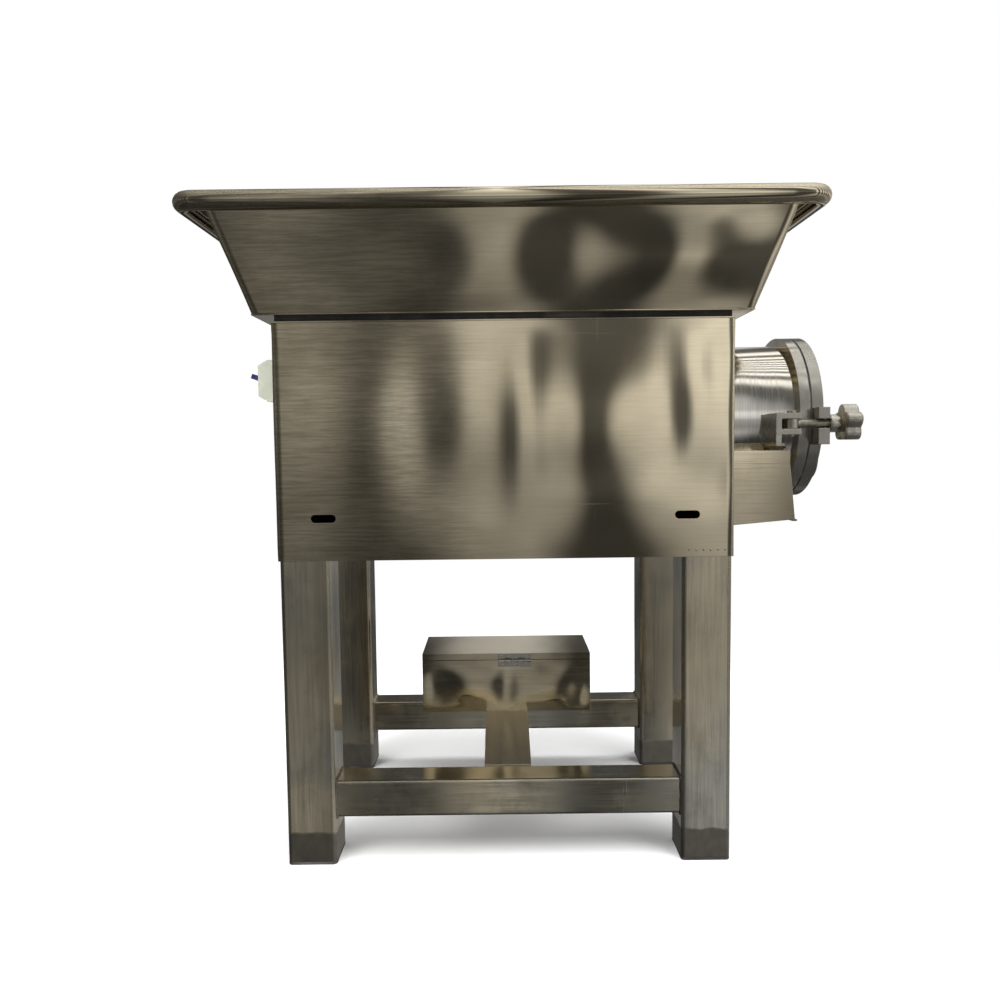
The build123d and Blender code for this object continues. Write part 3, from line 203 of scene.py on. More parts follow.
finishes = {
    # The polished sheet is brushed left of x = -0.06, and there it is darker in streaks as a painted dark
    # reflection.
    "polished_sheet": metal("polished_sheet", WARM, OLIVE_REFLECTION_PATCH, 0.05, (16, 620, 620), 0.00018, smudge=0.035,
                            satin_and_painted_dark_to=-0.06),
    "stainless": metal("stainless", WARM, OLIVE_REFLECTION_PATCH, 0.1, (16, 620, 620), 0.002, wave_depth=0.4, smudge=0.05),
    "barrel_sheet": metal("barrel_sheet", (0.74, 0.72, 0.67), WARM, 0.07, (700, 20, 20), 0.0004,
                          waves=(26, 8, 8), wave_depth=0.2, smudge=0.04),
    "turned_steel": metal("turned_steel", (0.66, 0.63, 0.56), (0.5, 0.47, 0.41), 0.17, (1100, 30, 30), 0.004,
                          waves=(40, 40, 40), wave_depth=0.16, smudge=0.12, edge=1.1),
    "tube_steel": metal("tube_steel", WARM, (0.5, 0.485, 0.42), 0.1, (420, 420, 14), 0.003,
                        waves=(11, 11, 7), wave_depth=0.7, smudge=0.09, edge=1.4, scuffed_below=0.033),
    "rail_steel": metal("rail_steel", WARM, (0.5, 0.48, 0.4), 0.12, (14, 420, 420), 0.003,
                        waves=(8, 12, 12), wave_depth=0.7, smudge=0.12, edge=1.4),
    "plate_steel": metal("plate_steel", (0.48, 0.47, 0.45), (0.36, 0.35, 0.33), 0.34, (300, 20, 300), 0.006,
                         smudge=0.2),
    "cover_steel": metal("cover_steel", (0.6, 0.575, 0.51), (0.46, 0.44, 0.38), 0.2, (60, 60, 60), 0.01,
                         waves=(60, 60, 60), wave_depth=0.2, smudge=0.14, edge=1.2),
    "shaft_steel": metal("shaft_steel", (0.66, 0.65, 0.62), (0.5, 0.49, 0.46), 0.18, (900, 40, 40), 0.004,
                         smudge=0.12),
    "clamp_steel": metal("clamp_steel", (0.7, 0.665, 0.58), (0.46, 0.43, 0.37), 0.2, (240, 240, 240), 0.014,
                         waves=(90, 90, 90), wave_depth=0.25, smudge=0.16, edge=1.0),
    "knob_steel": metal("knob_steel", (0.7, 0.665, 0.575), (0.48, 0.45, 0.37), 0.17, (300, 120, 120), 0.01,
                        waves=(70, 70, 70), wave_depth=0.2, smudge=0.13, edge=1.2),
    "gear_steel": metal("gear_steel", (0.36, 0.35, 0.34), (0.24, 0.23, 0.22), 0.34, (500, 60, 60), 0.006,
                        smudge=0.25),
    "bearing_steel": metal("bearing_steel", (0.6, 0.6, 0.6), (0.5, 0.5, 0.49), 0.16, (900, 30, 30), 0.002),
    "bronze": metal("bronze", (0.62, 0.42, 0.2), (0.42, 0.27, 0.12), 0.3, (700, 40, 40), 0.005, smudge=0.2),
    "rotor_steel": metal("rotor_steel", (0.4, 0.4, 0.4), (0.3, 0.29, 0.28), 0.32, (30, 500, 500), 0.006),
    "box_steel": metal("box_steel", WARM, OLIVE_REFLECTION_PATCH, 0.05, (18, 520, 520), 0.0015, waves=(17, 12, 22),
                       wave_depth=0.5, smudge=0.05),
    "strap_steel": metal("strap_steel", (0.9, 0.83, 0.69), (0.8, 0.73, 0.6), 0.42, (500, 16, 16), 0.004,
                         waves=(10, 20, 20), wave_depth=0.25, smudge=0.1),
    "hinge_steel": metal("hinge_steel", (0.72, 0.7, 0.64), (0.58, 0.56, 0.5), 0.2, (40, 500, 500), 0.003,
                         smudge=0.1),
    "weld_metal": metal("weld_metal", (0.5, 0.46, 0.38), (0.22, 0.19, 0.2), 0.34, (300, 300, 300), 0.03,
                        smudge=0.3),
    "rubber": moulded("rubber", (0.022, 0.022, 0.022), (0.04, 0.039, 0.037), 0.62),
    "black_plastic": moulded("black_plastic", (0.024, 0.024, 0.025), (0.038, 0.037, 0.036), 0.45),
    "motor_paint": moulded("motor_paint", (0.05, 0.085, 0.11), (0.04, 0.07, 0.095), 0.4, (160, 160, 160), 0.08),
    "cover_paint": moulded("cover_paint", (0.055, 0.06, 0.062), (0.045, 0.048, 0.05), 0.42),
    "cream_plastic": moulded("cream_plastic", (0.66, 0.68, 0.56), (0.6, 0.615, 0.5), 0.34, edge=1.0),
    "blue_plastic": moulded("blue_plastic", (0.012, 0.018, 0.13), (0.014, 0.02, 0.1), 0.28, edge=0.8),
}

node_finishes = {"box_strap": "strap_steel", "barrel": "barrel_sheet", "barrel_flange": "turned_steel",
                 "front_rail": "rail_steel", "rear_rail": "rail_steel", "plate_bearers": "rail_steel"}
for name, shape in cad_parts.items():
    packed_slot = shape.data.materials[0].name.split(".")[0]
    shape.material_slots[0].material = finishes[node_finishes.get(name, packed_slot)]

# ---------------------------------------------------------------- mesh helpers


def piece(made, name, finish, body="stand", sharp=35, outward=True):
    """Turns a bmesh into a finished piece that rides on a body."""
    if outward:
        bmesh.ops.recalc_face_normals(made, faces=made.faces)
    for face in made.faces:
        face.smooth = True
    for edge in made.edges:
        if len(edge.link_faces) == 2 and edge.calc_face_angle(0) > math.radians(sharp):
            edge.smooth = False
    mesh = bpy.data.meshes.new(name)
    made.to_mesh(mesh)
    made.free()
    shape = bpy.data.objects.new(name, mesh)
    bpy.context.scene.collection.objects.link(shape)
    mesh.materials.append(finishes[finish])
    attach(shape, body)
    return shape


def between(made, low, high):
    """A box from its low corner to its high corner."""
    low, high = Vector(low), Vector(high)
    size = Matrix.Diagonal((high - low).to_4d())
    size[3][3] = 1
    block = bmesh.ops.create_cube(made, size=1, matrix=Matrix.Translation((low + high) / 2) @ size)
    return block["verts"]


def carve(shape, cutters):
    """Cuts the closed shapes in a bmesh out of a piece."""
    mesh = bpy.data.meshes.new("cutters")
    bmesh.ops.recalc_face_normals(cutters, faces=cutters.faces)
    cutters.to_mesh(mesh)
    cutters.free()
    tool = bpy.data.objects.new("cutters", mesh)
    bpy.context.scene.collection.objects.link(tool)
    cut = shape.modifiers.new("cut", "BOOLEAN")
    cut.operation = "DIFFERENCE"
    cut.solver = "EXACT"
    cut.use_self = True  # a slot's cutter is two ends and a middle that overlap
    cut.object = tool
    scene = bpy.context.evaluated_depsgraph_get()
    result = bpy.data.meshes.new_from_object(shape.evaluated_get(scene), depsgraph=scene)
    shape.modifiers.clear()
    old = shape.data
    result.name = old.name + "_cut"
    shape.data = result
    bpy.data.meshes.remove(old)
    bpy.data.objects.remove(tool)
    bpy.data.meshes.remove(mesh)
    return shape


def lathe(made, profile, centre, segments=48):
    """Spins a profile of (along X, radius) points about the X axis through centre. It closes on itself."""
    points = [made.verts.new((centre[0] + along, centre[1], centre[2] + radius)) for along, radius in profile]
    edges = [made.edges.new((a, b)) for a, b in zip(points, points[1:] + points[:1])]
    bmesh.ops.spin(made, geom=points + edges, cent=centre, axis=(1, 0, 0), angle=math.tau, steps=segments,
                   use_merge=True)


def flared_tube(made, low_half, high_half, low_z, high_z, corner, radius_cuts=4):
    """The four walls of an open box whose top is wider than its foot, with rounded upright corners."""
    block = bmesh.ops.create_cube(made, size=2)["verts"]
    for vert in block:
        half, level = (low_half, low_z) if vert.co.z < 0 else (high_half, high_z)
        vert.co = Vector((math.copysign(half[0], vert.co.x), math.copysign(half[1], vert.co.y), level))
    ends = [face for face in made.faces if abs(face.normal.z) > 0.9]
    bmesh.ops.delete(made, geom=ends, context="FACES_ONLY")
    upright = [edge for edge in made.edges if abs(edge.verts[0].co.z - edge.verts[1].co.z) > 1e-4]
    bmesh.ops.bevel(made, geom=upright, offset=corner, offset_type="OFFSET", segments=radius_cuts,
                    profile=0.5, affect="EDGES", material=-1, clamp_overlap=True)


def grid_up(made, pitch):
    """Divides the walls of an upright tube into squares of about that pitch."""
    tall = max(v.co.z for v in made.verts) - min(v.co.z for v in made.verts)
    upright = [edge for edge in made.edges if abs(edge.verts[0].co.z - edge.verts[1].co.z) > tall / 2]
    bmesh.ops.subdivide_edges(made, edges=upright, cuts=round(tall / pitch), use_grid_fill=True)
    for axis in (0, 1):
        level = [e for e in made.edges if abs(e.verts[0].co[axis] - e.verts[1].co[axis]) > 0.1]
        if level:
            cuts = round(max(e.calc_length() for e in level) / pitch)
            bmesh.ops.subdivide_edges(made, edges=level, cuts=cuts, use_grid_fill=True)


def dent(point, dents):
    """The swing of a sheet at a point: soft round dents, each (centre, half sizes, depth in mm)."""
    swing = 0.0
    for centre, half, depth in dents:
        away = sum(((point[i] - centre[i]) / half[i]) ** 2 for i in range(3) if half[i])
        if away < 12:
            swing += depth * MM * math.exp(-away)
    return swing


def buckle(made, dents, ripple, ripple_depth, low_z, high_z, hold=0.02):
    """Pushes a sheet in and out along its normals, and holds it flat near its folded edges."""
    made.normal_update()
    normals = {vert: vert.normal.copy() for vert in made.verts}
    for vert, normal in normals.items():
        point = vert.co.copy()
        swing = dent(point, dents)
        swing += ripple_depth * MM * noise.noise(Vector([point[i] * ripple[i] for i in range(3)]))
        reach = min(point.z - low_z, high_z - point.z)
        ease = min(1.0, max(0.0, reach / hold))
        vert.co = point + normal * swing * ease * ease * (3 - 2 * ease)


# ---------------------------------------------------------------- casing
front_low, front_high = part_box("front_panel")
switch_low, switch_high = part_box("breaker_body")
trough_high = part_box("trough")[1]
housing_low, housing_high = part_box("motor_housing")
axis_z = (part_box("barrel")[0].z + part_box("barrel")[1].z) / 2
CORNER = 2.5 * MM              # outside radius of a folded corner
SLOT_SIDE = 0.182              # each slot's middle from the casing's middle
SLOT_UP = 42.5 * MM            # above the casing's foot
SLOT_LENGTH, SLOT_WIDTH = 25 * MM, 8 * MM
WINDOW_LOW, WINDOW_HIGH = 0.021, 0.065    # the switch's window above the auger's axis
VENT_ROWS, VENT_PITCH = 6, 12 * MM
VENT_LENGTH, VENT_WIDTH = 70 * MM, 5 * MM
TROUGH_WALL = 2 * MM
THROUGH = 0.04                 # length of a cutter, well past the sheet on both sides


def upright_slot(made, centre, length, width, through, axis):
    """A cutter for a slot with round ends that runs level, through a wall across X or Y."""
    turn = Matrix.Rotation(math.radians(90), 4, "X" if axis == 1 else "Y")
    along = Vector((1, 0, 0)) if axis == 1 else Vector((0, 1, 0))
    for end in (-1, 1):
        spot = Matrix.Translation(Vector(centre) + along * end * (length - width) / 2) @ turn
        bmesh.ops.create_cone(made, cap_ends=True, segments=32, radius1=width / 2, radius2=width / 2,
                              depth=through, matrix=spot)
    reach = along * (length - width) / 2 + Vector((0, 0, width / 2))
    reach[axis] = through / 2
    between(made, Vector(centre) - reach, Vector(centre) + reach)


def casing_skin():
    """Front, sides and rear as one folded sheet, with the buckles that thin sheet takes up."""
    made = bmesh.new()
    half = (front_high.x, -front_low.y)
    low_z, high_z = front_low.z, front_high.z
    flared_tube(made, half, half, low_z, high_z, CORNER)
    grid_up(made, 6 * MM)
    front = front_low.y
    tall = high_z - low_z
    middle = (low_z + high_z) / 2
    belly = [
        ((0.085, front, middle + 0.08 * tall), (0.052, 0, 0.052), 2.6),
        ((0.02, front, middle + 0.1 * tall), (0.02, 0, 0.09), 0.9),
        ((-0.085, front, middle + 0.1 * tall), (0.03, 0, 0.07), -1.3),
        ((-0.15, front, middle + 0.05 * tall), (0.07, 0, 0.09), 1.2),
        ((-0.03, front, middle - 0.2 * tall), (0.07, 0, 0.05), -0.9),
        ((0.1, front, middle - 0.27 * tall), (0.06, 0, 0.03), 1.0),
        ((0.165, front, middle + 0.12 * tall), (0.016, 0, 0.07), -0.35),
        ((0.19, front, middle + 0.1 * tall), (0.018, 0, 0.08), 0.45),
        ((0.213, front, middle + 0.32 * tall), (0.024, 0, 0.035), -0.8),
        ((0.2, front, middle - 0.18 * tall), (0.03, 0, 0.04), -1.0),
        ((0.0, -front, middle), (0.12, 0, 0.07), 1.6),
        ((-0.13, -front, middle + 0.1 * tall), (0.06, 0, 0.05), -1.0),
        ((-half[0], 0.05, middle), (0, 0.07, 0.06), 1.2),
        ((half[0], 0.11, middle + 0.1 * tall), (0, 0.03, 0.07), 0.8),
    ]
    for index, (centre, size, depth) in enumerate(belly):
        belly[index] = (centre, [s if s else 0.012 for s in size], depth)
    buckle(made, belly, (6, 6, 8), 0.6, low_z, high_z, 0.016)
    bmesh.ops.solidify(made, geom=made.faces, thickness=SHEET)
    skin = piece(made, "casing_skin", "polished_sheet", outward=False)
    cutters = bmesh.new()
    slot_z = low_z + SLOT_UP
    for side in (-1, 1):
        upright_slot(cutters, (side * SLOT_SIDE, front, slot_z), SLOT_LENGTH, SLOT_WIDTH, THROUGH, 1)
    clear = 0.3 * MM
    between(cutters, (-half[0] - 0.02, switch_low.y - clear, axis_z + WINDOW_LOW),
            (-half[0] + 0.02, switch_high.y + clear, axis_z + WINDOW_HIGH))
    bmesh.ops.create_cone(cutters, cap_ends=True, segments=96, radius1=trough_high.y - TROUGH_WALL,
                          radius2=trough_high.y - TROUGH_WALL, depth=THROUGH,
                          matrix=Matrix.Translation((half[0], 0, axis_z)) @ Matrix.Rotation(math.pi / 2, 4, "Y"))
    vent_x = (housing_low.x + housing_high.x) / 2
    vent_z = (housing_low.z + housing_high.z) / 2
    for row in range(VENT_ROWS):
        row_z = vent_z + (row - (VENT_ROWS - 1) / 2) * VENT_PITCH
        upright_slot(cutters, (vent_x, -front, row_z), VENT_LENGTH, VENT_WIDTH, THROUGH, 1)
    carve(skin, cutters)
    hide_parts("front_panel", "left_panel", "right_panel", "rear_panel")
    return skin


casing_skin()

# ---------------------------------------------------------------- hopper
hopper_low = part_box("hopper_base")[1].z
rim_low, rim_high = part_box("hopper_front")
left_wall_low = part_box("hopper_left")[0]
deck_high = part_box("hopper_base")[1]
bead_radius = 9 * MM           # the rim is rolled round this
bead_out, bead_rise, bead_corner = 17 * MM, 4 * MM, 12 * MM
bead_z = rim_high.z - bead_radius
wall_top_z = bead_z - bead_rise
bead_half = (-left_wall_low.x - bead_radius, -rim_low.y - bead_radius)
wall_half = (bead_half[0] - bead_out, bead_half[1] - bead_out)


def hopper_skin():
    """The four slanted walls as one sheet, with rounded corner seams and oil-can buckles."""
    made = bmesh.new()
    low_half = (deck_high.x, deck_high.y)
    flared_tube(made, low_half, wall_half, hopper_low, wall_top_z, CORNER)
    grid_up(made, 6.5 * MM)
    front = -(low_half[1] + wall_half[1]) / 2
    middle = (hopper_low + wall_top_z) / 2
    depth = 0.06
    belly = [
        ((0.17, front, middle), (0.06, depth, 0.03), 3.0),
        ((0.06, front, middle + 0.008), (0.03, depth, 0.04), -0.8),
        ((-0.02, front, middle), (0.05, depth, 0.035), 0.7),
        ((-0.15, front, middle), (0.09, depth, 0.03), -1.8),
        ((0.22, front, middle + 0.03), (0.03, depth, 0.016), -1.0),
        ((0.0, -front, middle), (0.12, depth, 0.03), 1.8),
        ((-0.16, -front, middle), (0.05, depth, 0.03), -1.2),
        ((0.26, 0.0, middle), (0.05, 0.08, 0.03), 1.4),
        ((-0.26, 0.02, middle), (0.05, 0.09, 0.03), 1.3),
    ]
    buckle(made, belly, (7, 7, 11), 0.9, hopper_low, wall_top_z, 0.014)
    bmesh.ops.solidify(made, geom=made.faces, thickness=SHEET)
    skin = piece(made, "hopper_walls", "polished_sheet", outward=False)
    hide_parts("hopper_front", "hopper_rear", "hopper_left", "hopper_right")
    return skin


def carry_round(made, profile, half, level, corner):
    """Carries a closed profile of (outward, up) points round a rounded rectangle, from the front's middle."""
    ring = [made.verts.new((0, -half[1] - out, level + up)) for out, up in profile]
    edges = [made.edges.new((a, b)) for a, b in zip(ring, ring[1:] + ring[:1])]
    geom = ring + edges
    run_x, run_y = half[0] - corner, half[1] - corner
    runs = [(run_x, (1, 0, 0)), (2 * run_y, (0, 1, 0)), (2 * run_x, (-1, 0, 0)), (2 * run_y, (0, -1, 0)),
            (run_x, (1, 0, 0))]
    corners = [(run_x, -run_y), (run_x, run_y), (-run_x, run_y), (-run_x, -run_y)]
    for index, (run, way) in enumerate(runs):
        steps = max(1, round(run / 0.02))
        for _ in range(steps):
            open_edges = [g for g in geom if isinstance(g, bmesh.types.BMEdge)]
            geom = bmesh.ops.extrude_edge_only(made, edges=open_edges)["geom"]
            verts = [g for g in geom if isinstance(g, bmesh.types.BMVert)]
            bmesh.ops.translate(made, verts=verts, vec=Vector(way) * run / steps)
        if index < 4:
            x, y = corners[index]
            open_geom = [g for g in geom if not isinstance(g, bmesh.types.BMFace)]
            turned = bmesh.ops.spin(made, geom=open_geom, cent=(x, y, level), axis=(0, 0, 1),
                                    angle=math.pi / 2, steps=8)
            geom = turned["geom_last"]
    bmesh.ops.remove_doubles(made, verts=made.verts, dist=0.00001)


def rolled_rim():
    """The flat lip that rolls over into a bead, carried round the hopper's mouth."""
    made = bmesh.new()
    lip_in, lip_up = -bead_out - SHEET, -bead_rise
    turns = [math.radians(angle) for angle in range(200, -121, -20)]
    inside = bead_radius - SHEET
    outer = [(bead_radius * math.cos(a), bead_radius * math.sin(a)) for a in turns]
    inner = [(inside * math.cos(a), inside * math.sin(a)) for a in reversed(turns)]
    profile = [(lip_in, lip_up + SHEET)] + outer + inner + [(lip_in, lip_up)]
    carry_round(made, profile, bead_half, bead_z, bead_corner)
    return piece(made, "rolled_rim", "polished_sheet")


def folded_edge(name, half, level, radius, corner):
    """A small round fold along a sheet's edge, which catches the light."""
    made = bmesh.new()
    turns = [math.tau * step / 10 for step in range(10)]
    profile = [(radius * math.cos(a), radius * math.sin(a)) for a in turns]
    carry_round(made, profile, half, level, corner)
    return piece(made, name, "polished_sheet")


hopper_skin()
rolled_rim()
fold = 0.9 * MM
folded_edge("hopper_foot_fold", (deck_high.x - fold / 2, deck_high.y - fold / 2), hopper_low - SHEET / 2,
            fold, CORNER)
folded_edge("casing_top_fold", (front_high.x - fold, -front_low.y - fold), front_high.z + 0.3 * MM, fold, CORNER)

# ---------------------------------------------------------------- welds


def weld_run(made, start, end, pitch=2.3 * MM, size=1.7 * MM, seed=0.0):
    """A row of overlapping lumps, as a torch leaves them."""
    start, end = Vector(start), Vector(end)
    steps = max(1, round((end - start).length / pitch))
    for step in range(steps + 1):
        spot = start.lerp(end, step / steps)
        swell = 1 + 0.3 * noise.noise(spot * 400 + Vector((seed, 0, 0)))
        drift = noise.noise_vector(spot * 300) * 0.3 * MM
        bmesh.ops.create_icosphere(made, subdivisions=2, radius=size * swell,
                                   matrix=Matrix.Translation(spot + drift))


def frame_welds():
    made = bmesh.new()
    for rail in ("front_rail", "rear_rail"):
        low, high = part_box(rail)
        inset = 1.0 * MM
        for x in (low.x, high.x):
            ring = [(low.y + inset, low.z), (high.y - inset, low.z), (high.y, low.z + inset),
                    (high.y, high.z - inset), (high.y - inset, high.z), (low.y + inset, high.z),
                    (low.y, high.z - inset), (low.y, low.z + inset)]
            for first, last in zip(ring, ring[1:] + ring[:1]):
                if (Vector(first) - Vector(last)).length > 5 * MM:
                    weld_run(made, (x, *first), (x, *last))
    piece(made, "frame_welds", "weld_metal")


def spot_welds():
    """Shallow dimples where the casing is tacked to the legs."""
    made = bmesh.new()
    flat = Matrix.Diagonal((1, 0.28, 1, 1))
    for side in (-1, 1):
        for column in range(6):
            x = side * (0.184 + column * 0.0072)
            lift = 7 * MM + 0.8 * MM * noise.noise(Vector((x * 90, 0, 0)))
            spot = Matrix.Translation((x, front_low.y, front_low.z + lift))
            bmesh.ops.create_icosphere(made, subdivisions=2, radius=1.1 * MM, matrix=spot @ flat)
    piece(made, "spot_welds", "stainless")


frame_welds()
spot_welds()

# ---------------------------------------------------------------- clamps


def screw_thread(side):
    """Ridges along a swing bolt between its eye and its knob."""
    low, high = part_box(f"{side}_swing_bolt")
    knob_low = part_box(f"{side}_knob")[0]
    centre = (0, (low.y + high.y) / 2, (low.z + high.z) / 2)
    start, end, pitch = low.x + 15 * MM, knob_low.x + 1 * MM, 1.25 * MM
    made = bmesh.new()
    profile = []
    for turn in range(int((end - start) / pitch)):
        profile += [(start + turn * pitch, 3.9 * MM), (start + (turn + 0.5) * pitch, 4.5 * MM)]
    profile += [(end, 3.9 * MM), (end, 3.0 * MM), (start, 3.0 * MM)]
    lathe(made, profile, centre, 32)
    return piece(made, f"{side}_bolt_thread", "clamp_steel", f"{side}_bolt", 50)


def star_knob(side):
    """A cast star knob: a turned hub and a body with hollows between its lobes."""
    low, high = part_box(f"{side}_knob")
    bolt_low, bolt_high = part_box(f"{side}_swing_bolt")
    y, z = (bolt_low.y + bolt_high.y) / 2, (bolt_low.z + bolt_high.z) / 2
    hub, outer, inner = 13 * MM, 20 * MM, 14.6 * MM
    body = high.x - low.x - hub
    made = bmesh.new()
    outline = bmesh.ops.create_circle(made, cap_ends=True, segments=90, radius=1.0)["verts"]
    for vert in outline:
        angle = math.atan2(vert.co.y, vert.co.x)
        lobe = 0.5 - 0.5 * math.cos(5 * angle)
        vert.co = Vector((vert.co.x, vert.co.y, 0)) * (inner + (outer - inner) * lobe ** 0.62)
    face = made.faces[:]
    grown = bmesh.ops.extrude_face_region(made, geom=face)["geom"]
    top = [g for g in grown if isinstance(g, bmesh.types.BMVert)]
    bmesh.ops.translate(made, verts=top, vec=(0, 0, body))
    rims = [edge for edge in made.edges if abs(edge.verts[0].co.z - edge.verts[1].co.z) < 1e-6]
    bmesh.ops.bevel(made, geom=rims, offset=2.2 * MM, offset_type="OFFSET", segments=4, profile=0.5,
                    affect="EDGES", material=-1, clamp_overlap=True)
    turn = Matrix.Translation((low.x + hub, y, z)) @ Matrix.Rotation(math.pi / 2, 4, "Y")
    bmesh.ops.transform(made, matrix=turn, verts=made.verts)
    neck, bore = 9.5 * MM, 4.1 * MM
    profile = [(0, bore), (0, neck - 1 * MM), (1 * MM, neck), (hub - 2 * MM, neck), (hub, neck - 0.6 * MM),
               (hub + 2 * MM, neck - 0.6 * MM), (hub + 2 * MM, bore)]
    lathe(made, profile, (low.x, y, z))
    knob_end = high.x
    lathe(made, [(0, 2 * MM), (0, 6.5 * MM), (0.5 * MM, 7 * MM), (0.8 * MM, 6 * MM), (0.8 * MM, 2 * MM)],
          (knob_end - 0.4 * MM, y, z), 40)
    shape = piece(made, f"{side}_star", "knob_steel", f"{side}_star_knob", 40)
    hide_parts(f"{side}_knob")
    return shape


for side in ("front", "rear"):
    screw_thread(side)
    star_knob(side)

# ---------------------------------------------------------------- box between the rails


def flap_sheet():
    """The box's drop flap, dished between its hinge and its free edge as thin sheet is."""
    low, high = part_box("box_flap")
    made = bmesh.new()
    between(made, low, high)
    for axis, cuts in ((0, 56), (2, 20)):
        long_edges = [e for e in made.edges if abs(e.verts[0].co[axis] - e.verts[1].co[axis]) > 0.03]
        bmesh.ops.subdivide_edges(made, edges=long_edges, cuts=cuts, use_grid_fill=True)
    middle = (low.z + high.z) / 2
    dents = [((-0.05, low.y, middle), (0.03, 0.1, 0.016), 1.0), ((0.055, low.y, middle), (0.026, 0.1, 0.014), 1.1),
             ((0.0, low.y, middle - 0.006), (0.012, 0.1, 0.03), -0.7),
             ((-0.085, low.y, middle), (0.02, 0.1, 0.02), -0.7),
             ((0.086, low.y, middle - 0.01), (0.014, 0.1, 0.02), -0.6)]
    for vert in made.verts:
        reach = min(vert.co.z - low.z, high.z - vert.co.z, vert.co.x - low.x, high.x - vert.co.x)
        ease = min(1.0, max(0.0, reach / 0.012))
        ripple = 0.4 * MM * noise.noise(Vector((vert.co.x * 26, 0.3, vert.co.z * 38)))
        vert.co.y -= (dent(vert.co, dents) + ripple) * ease * ease * (3 - 2 * ease) * 0.8
    shape = piece(made, "box_flap_sheet", "box_steel", "flap")
    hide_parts("box_flap")
    return shape


flap_sheet()

# ---------------------------------------------------------------- floor, light and camera


def pale_floor():
    made = bmesh.new()
    bmesh.ops.create_circle(made, cap_ends=True, segments=96, radius=9)
    mesh = bpy.data.meshes.new("floor")
    made.to_mesh(mesh)
    made.free()
    floor = bpy.data.objects.new("floor", mesh)
    bpy.context.scene.collection.objects.link(floor)
    material, tree, shader = new_material("pale_floor")
    speck = grain(tree, (30, 30, 30), 4.0)
    tone = blend(tree, speck, colour(0.86, 0.86, 0.86), colour(0.9, 0.9, 0.9))
    tree.links.new(tone, shader.inputs["Base Color"])
    shader.inputs["Roughness"].default_value = 0.9
    shader.inputs["Specular IOR Level"].default_value = 0.1
    away = node(tree, "ShaderNodeVectorMath", {0: place(tree)}, operation="LENGTH").outputs["Value"]
    glow = node(tree, "ShaderNodeEmission", {"Color": colour(1, 1, 1), "Strength": 1.0})
    fade = node(tree, "ShaderNodeMixShader", {
        0: spread(tree, away, 0.5, 1.1), 1: shader.outputs[0], 2: glow.outputs[0]})
    tree.links.new(fade.outputs[0], tree.nodes["Material Output"].inputs["Surface"])
    mesh.materials.append(material)
    floor.visible_glossy = False


STRIPS = 24  # soft light strips, all alike and evenly spaced right round the room


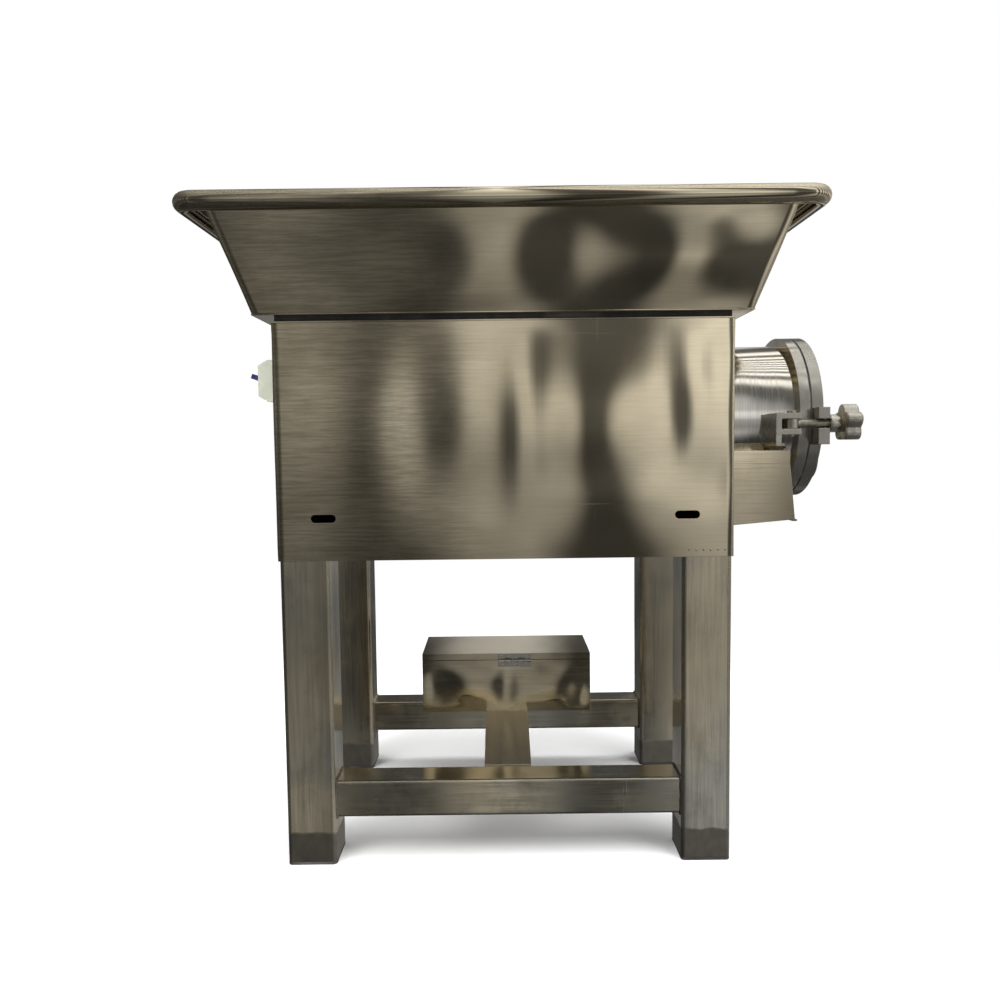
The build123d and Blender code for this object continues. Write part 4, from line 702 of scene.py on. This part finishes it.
def studio_surround():
    """White where it is seen directly. What it lights sees a plain neutral room: a soft ceiling, grey walls
    with even light strips, a dark floor, and a key side on the right that is brighter than the left."""
    world = bpy.data.worlds.new("studio")
    bpy.context.scene.world = world
    world.use_nodes = True
    tree = world.node_tree
    tree.nodes.clear()
    way = node(tree, "ShaderNodeTexCoord").outputs["Generated"]
    parts = node(tree, "ShaderNodeSeparateXYZ", {"Vector": way})
    ramp = node(tree, "ShaderNodeValToRGB", {"Fac": spread_flat(tree, parts.outputs["Z"], -1, 1)})
    levels = [(0.0, 0.05), (0.22, 0.1), (0.3, 0.2), (0.38, 0.12), (0.46, 0.16), (0.5, 0.3), (0.55, 0.38),
              (0.6, 0.24), (0.7, 0.26), (0.82, 0.36), (1.0, 0.7)]
    stops = ramp.color_ramp.elements
    while len(stops) < len(levels):
        stops.new(0.5)
    for stop, (at, tone) in zip(stops, levels):
        stop.position = at
        stop.color = colour(tone, tone, tone)
    key = spread(tree, parts.outputs["X"], -0.7, 0.7, 0.35, 1.7)
    around = sum_up(tree, "ARCTAN2", parts.outputs["X"], parts.outputs["Y"])
    turns = sum_up(tree, "MULTIPLY", around, float(STRIPS))
    swell = node(tree, "ShaderNodeMath", {0: turns}, operation="COSINE").outputs[0]
    strip = spread(tree, swell, -0.7, 0.9, 0.26, 1.9)
    key = sum_up(tree, "MULTIPLY", key, strip)
    straight = node(tree, "ShaderNodeLightPath").outputs["Is Camera Ray"]
    room = node(tree, "ShaderNodeBackground", {"Color": ramp.outputs["Color"], "Strength": key})
    white = node(tree, "ShaderNodeBackground", {"Color": colour(1, 1, 1), "Strength": 1.0})
    both = node(tree, "ShaderNodeMixShader", {0: straight, 1: room.outputs[0], 2: white.outputs[0]})
    node(tree, "ShaderNodeOutputWorld", {"Surface": both.outputs[0]})


def spread_flat(tree, value, low, high):
    made = node(tree, "ShaderNodeMapRange", {"Value": value, "From Min": low, "From Max": high})
    return made.outputs["Result"]


def soft_light(name, spot, aim, size, power):
    lamp = bpy.data.lights.new(name, "AREA")
    lamp.shape = "RECTANGLE"
    lamp.size, lamp.size_y = size
    lamp.energy = power
    shape = bpy.data.objects.new(name, lamp)
    shape.location = spot
    shape.rotation_euler = (Vector(aim) - Vector(spot)).to_track_quat("-Z", "Y").to_euler()
    shape.visible_camera = False
    shape.visible_glossy = False
    bpy.context.scene.collection.objects.link(shape)


def studio_camera():
    lens = bpy.data.cameras.new("camera")
    lens.lens = 30.3
    lens.sensor_width = 36
    lens.clip_start = 0.01
    camera = bpy.data.objects.new("camera", lens)
    yaw, pitch, roll = (math.radians(angle) for angle in (-0.04, -4.08, 0.68))
    aim = Matrix.Rotation(yaw, 3, "Z") @ Matrix.Rotation(pitch, 3, "X") @ Matrix.Rotation(roll, 3, "Y")
    camera.matrix_world = (aim @ Matrix.Rotation(math.pi / 2, 3, "X")).to_4x4()
    camera.location = (-0.0058, -0.9922, 0.4346)
    bpy.context.scene.collection.objects.link(camera)
    bpy.context.scene.camera = camera


pale_floor()
studio_surround()
soft_light("overhead", (0, -0.3, 2.6), (0, 0, 0.2), (3.5, 3.5), 170)
soft_light("front_left", (-1.8, -2.2, 1.6), (0, 0, 0.3), (1.6, 1.6), 45)
soft_light("front_right", (2.0, -1.8, 1.4), (0, 0, 0.3), (1.6, 1.6), 40)
studio_camera()
bpy.context.scene.view_settings.view_transform = "Standard"
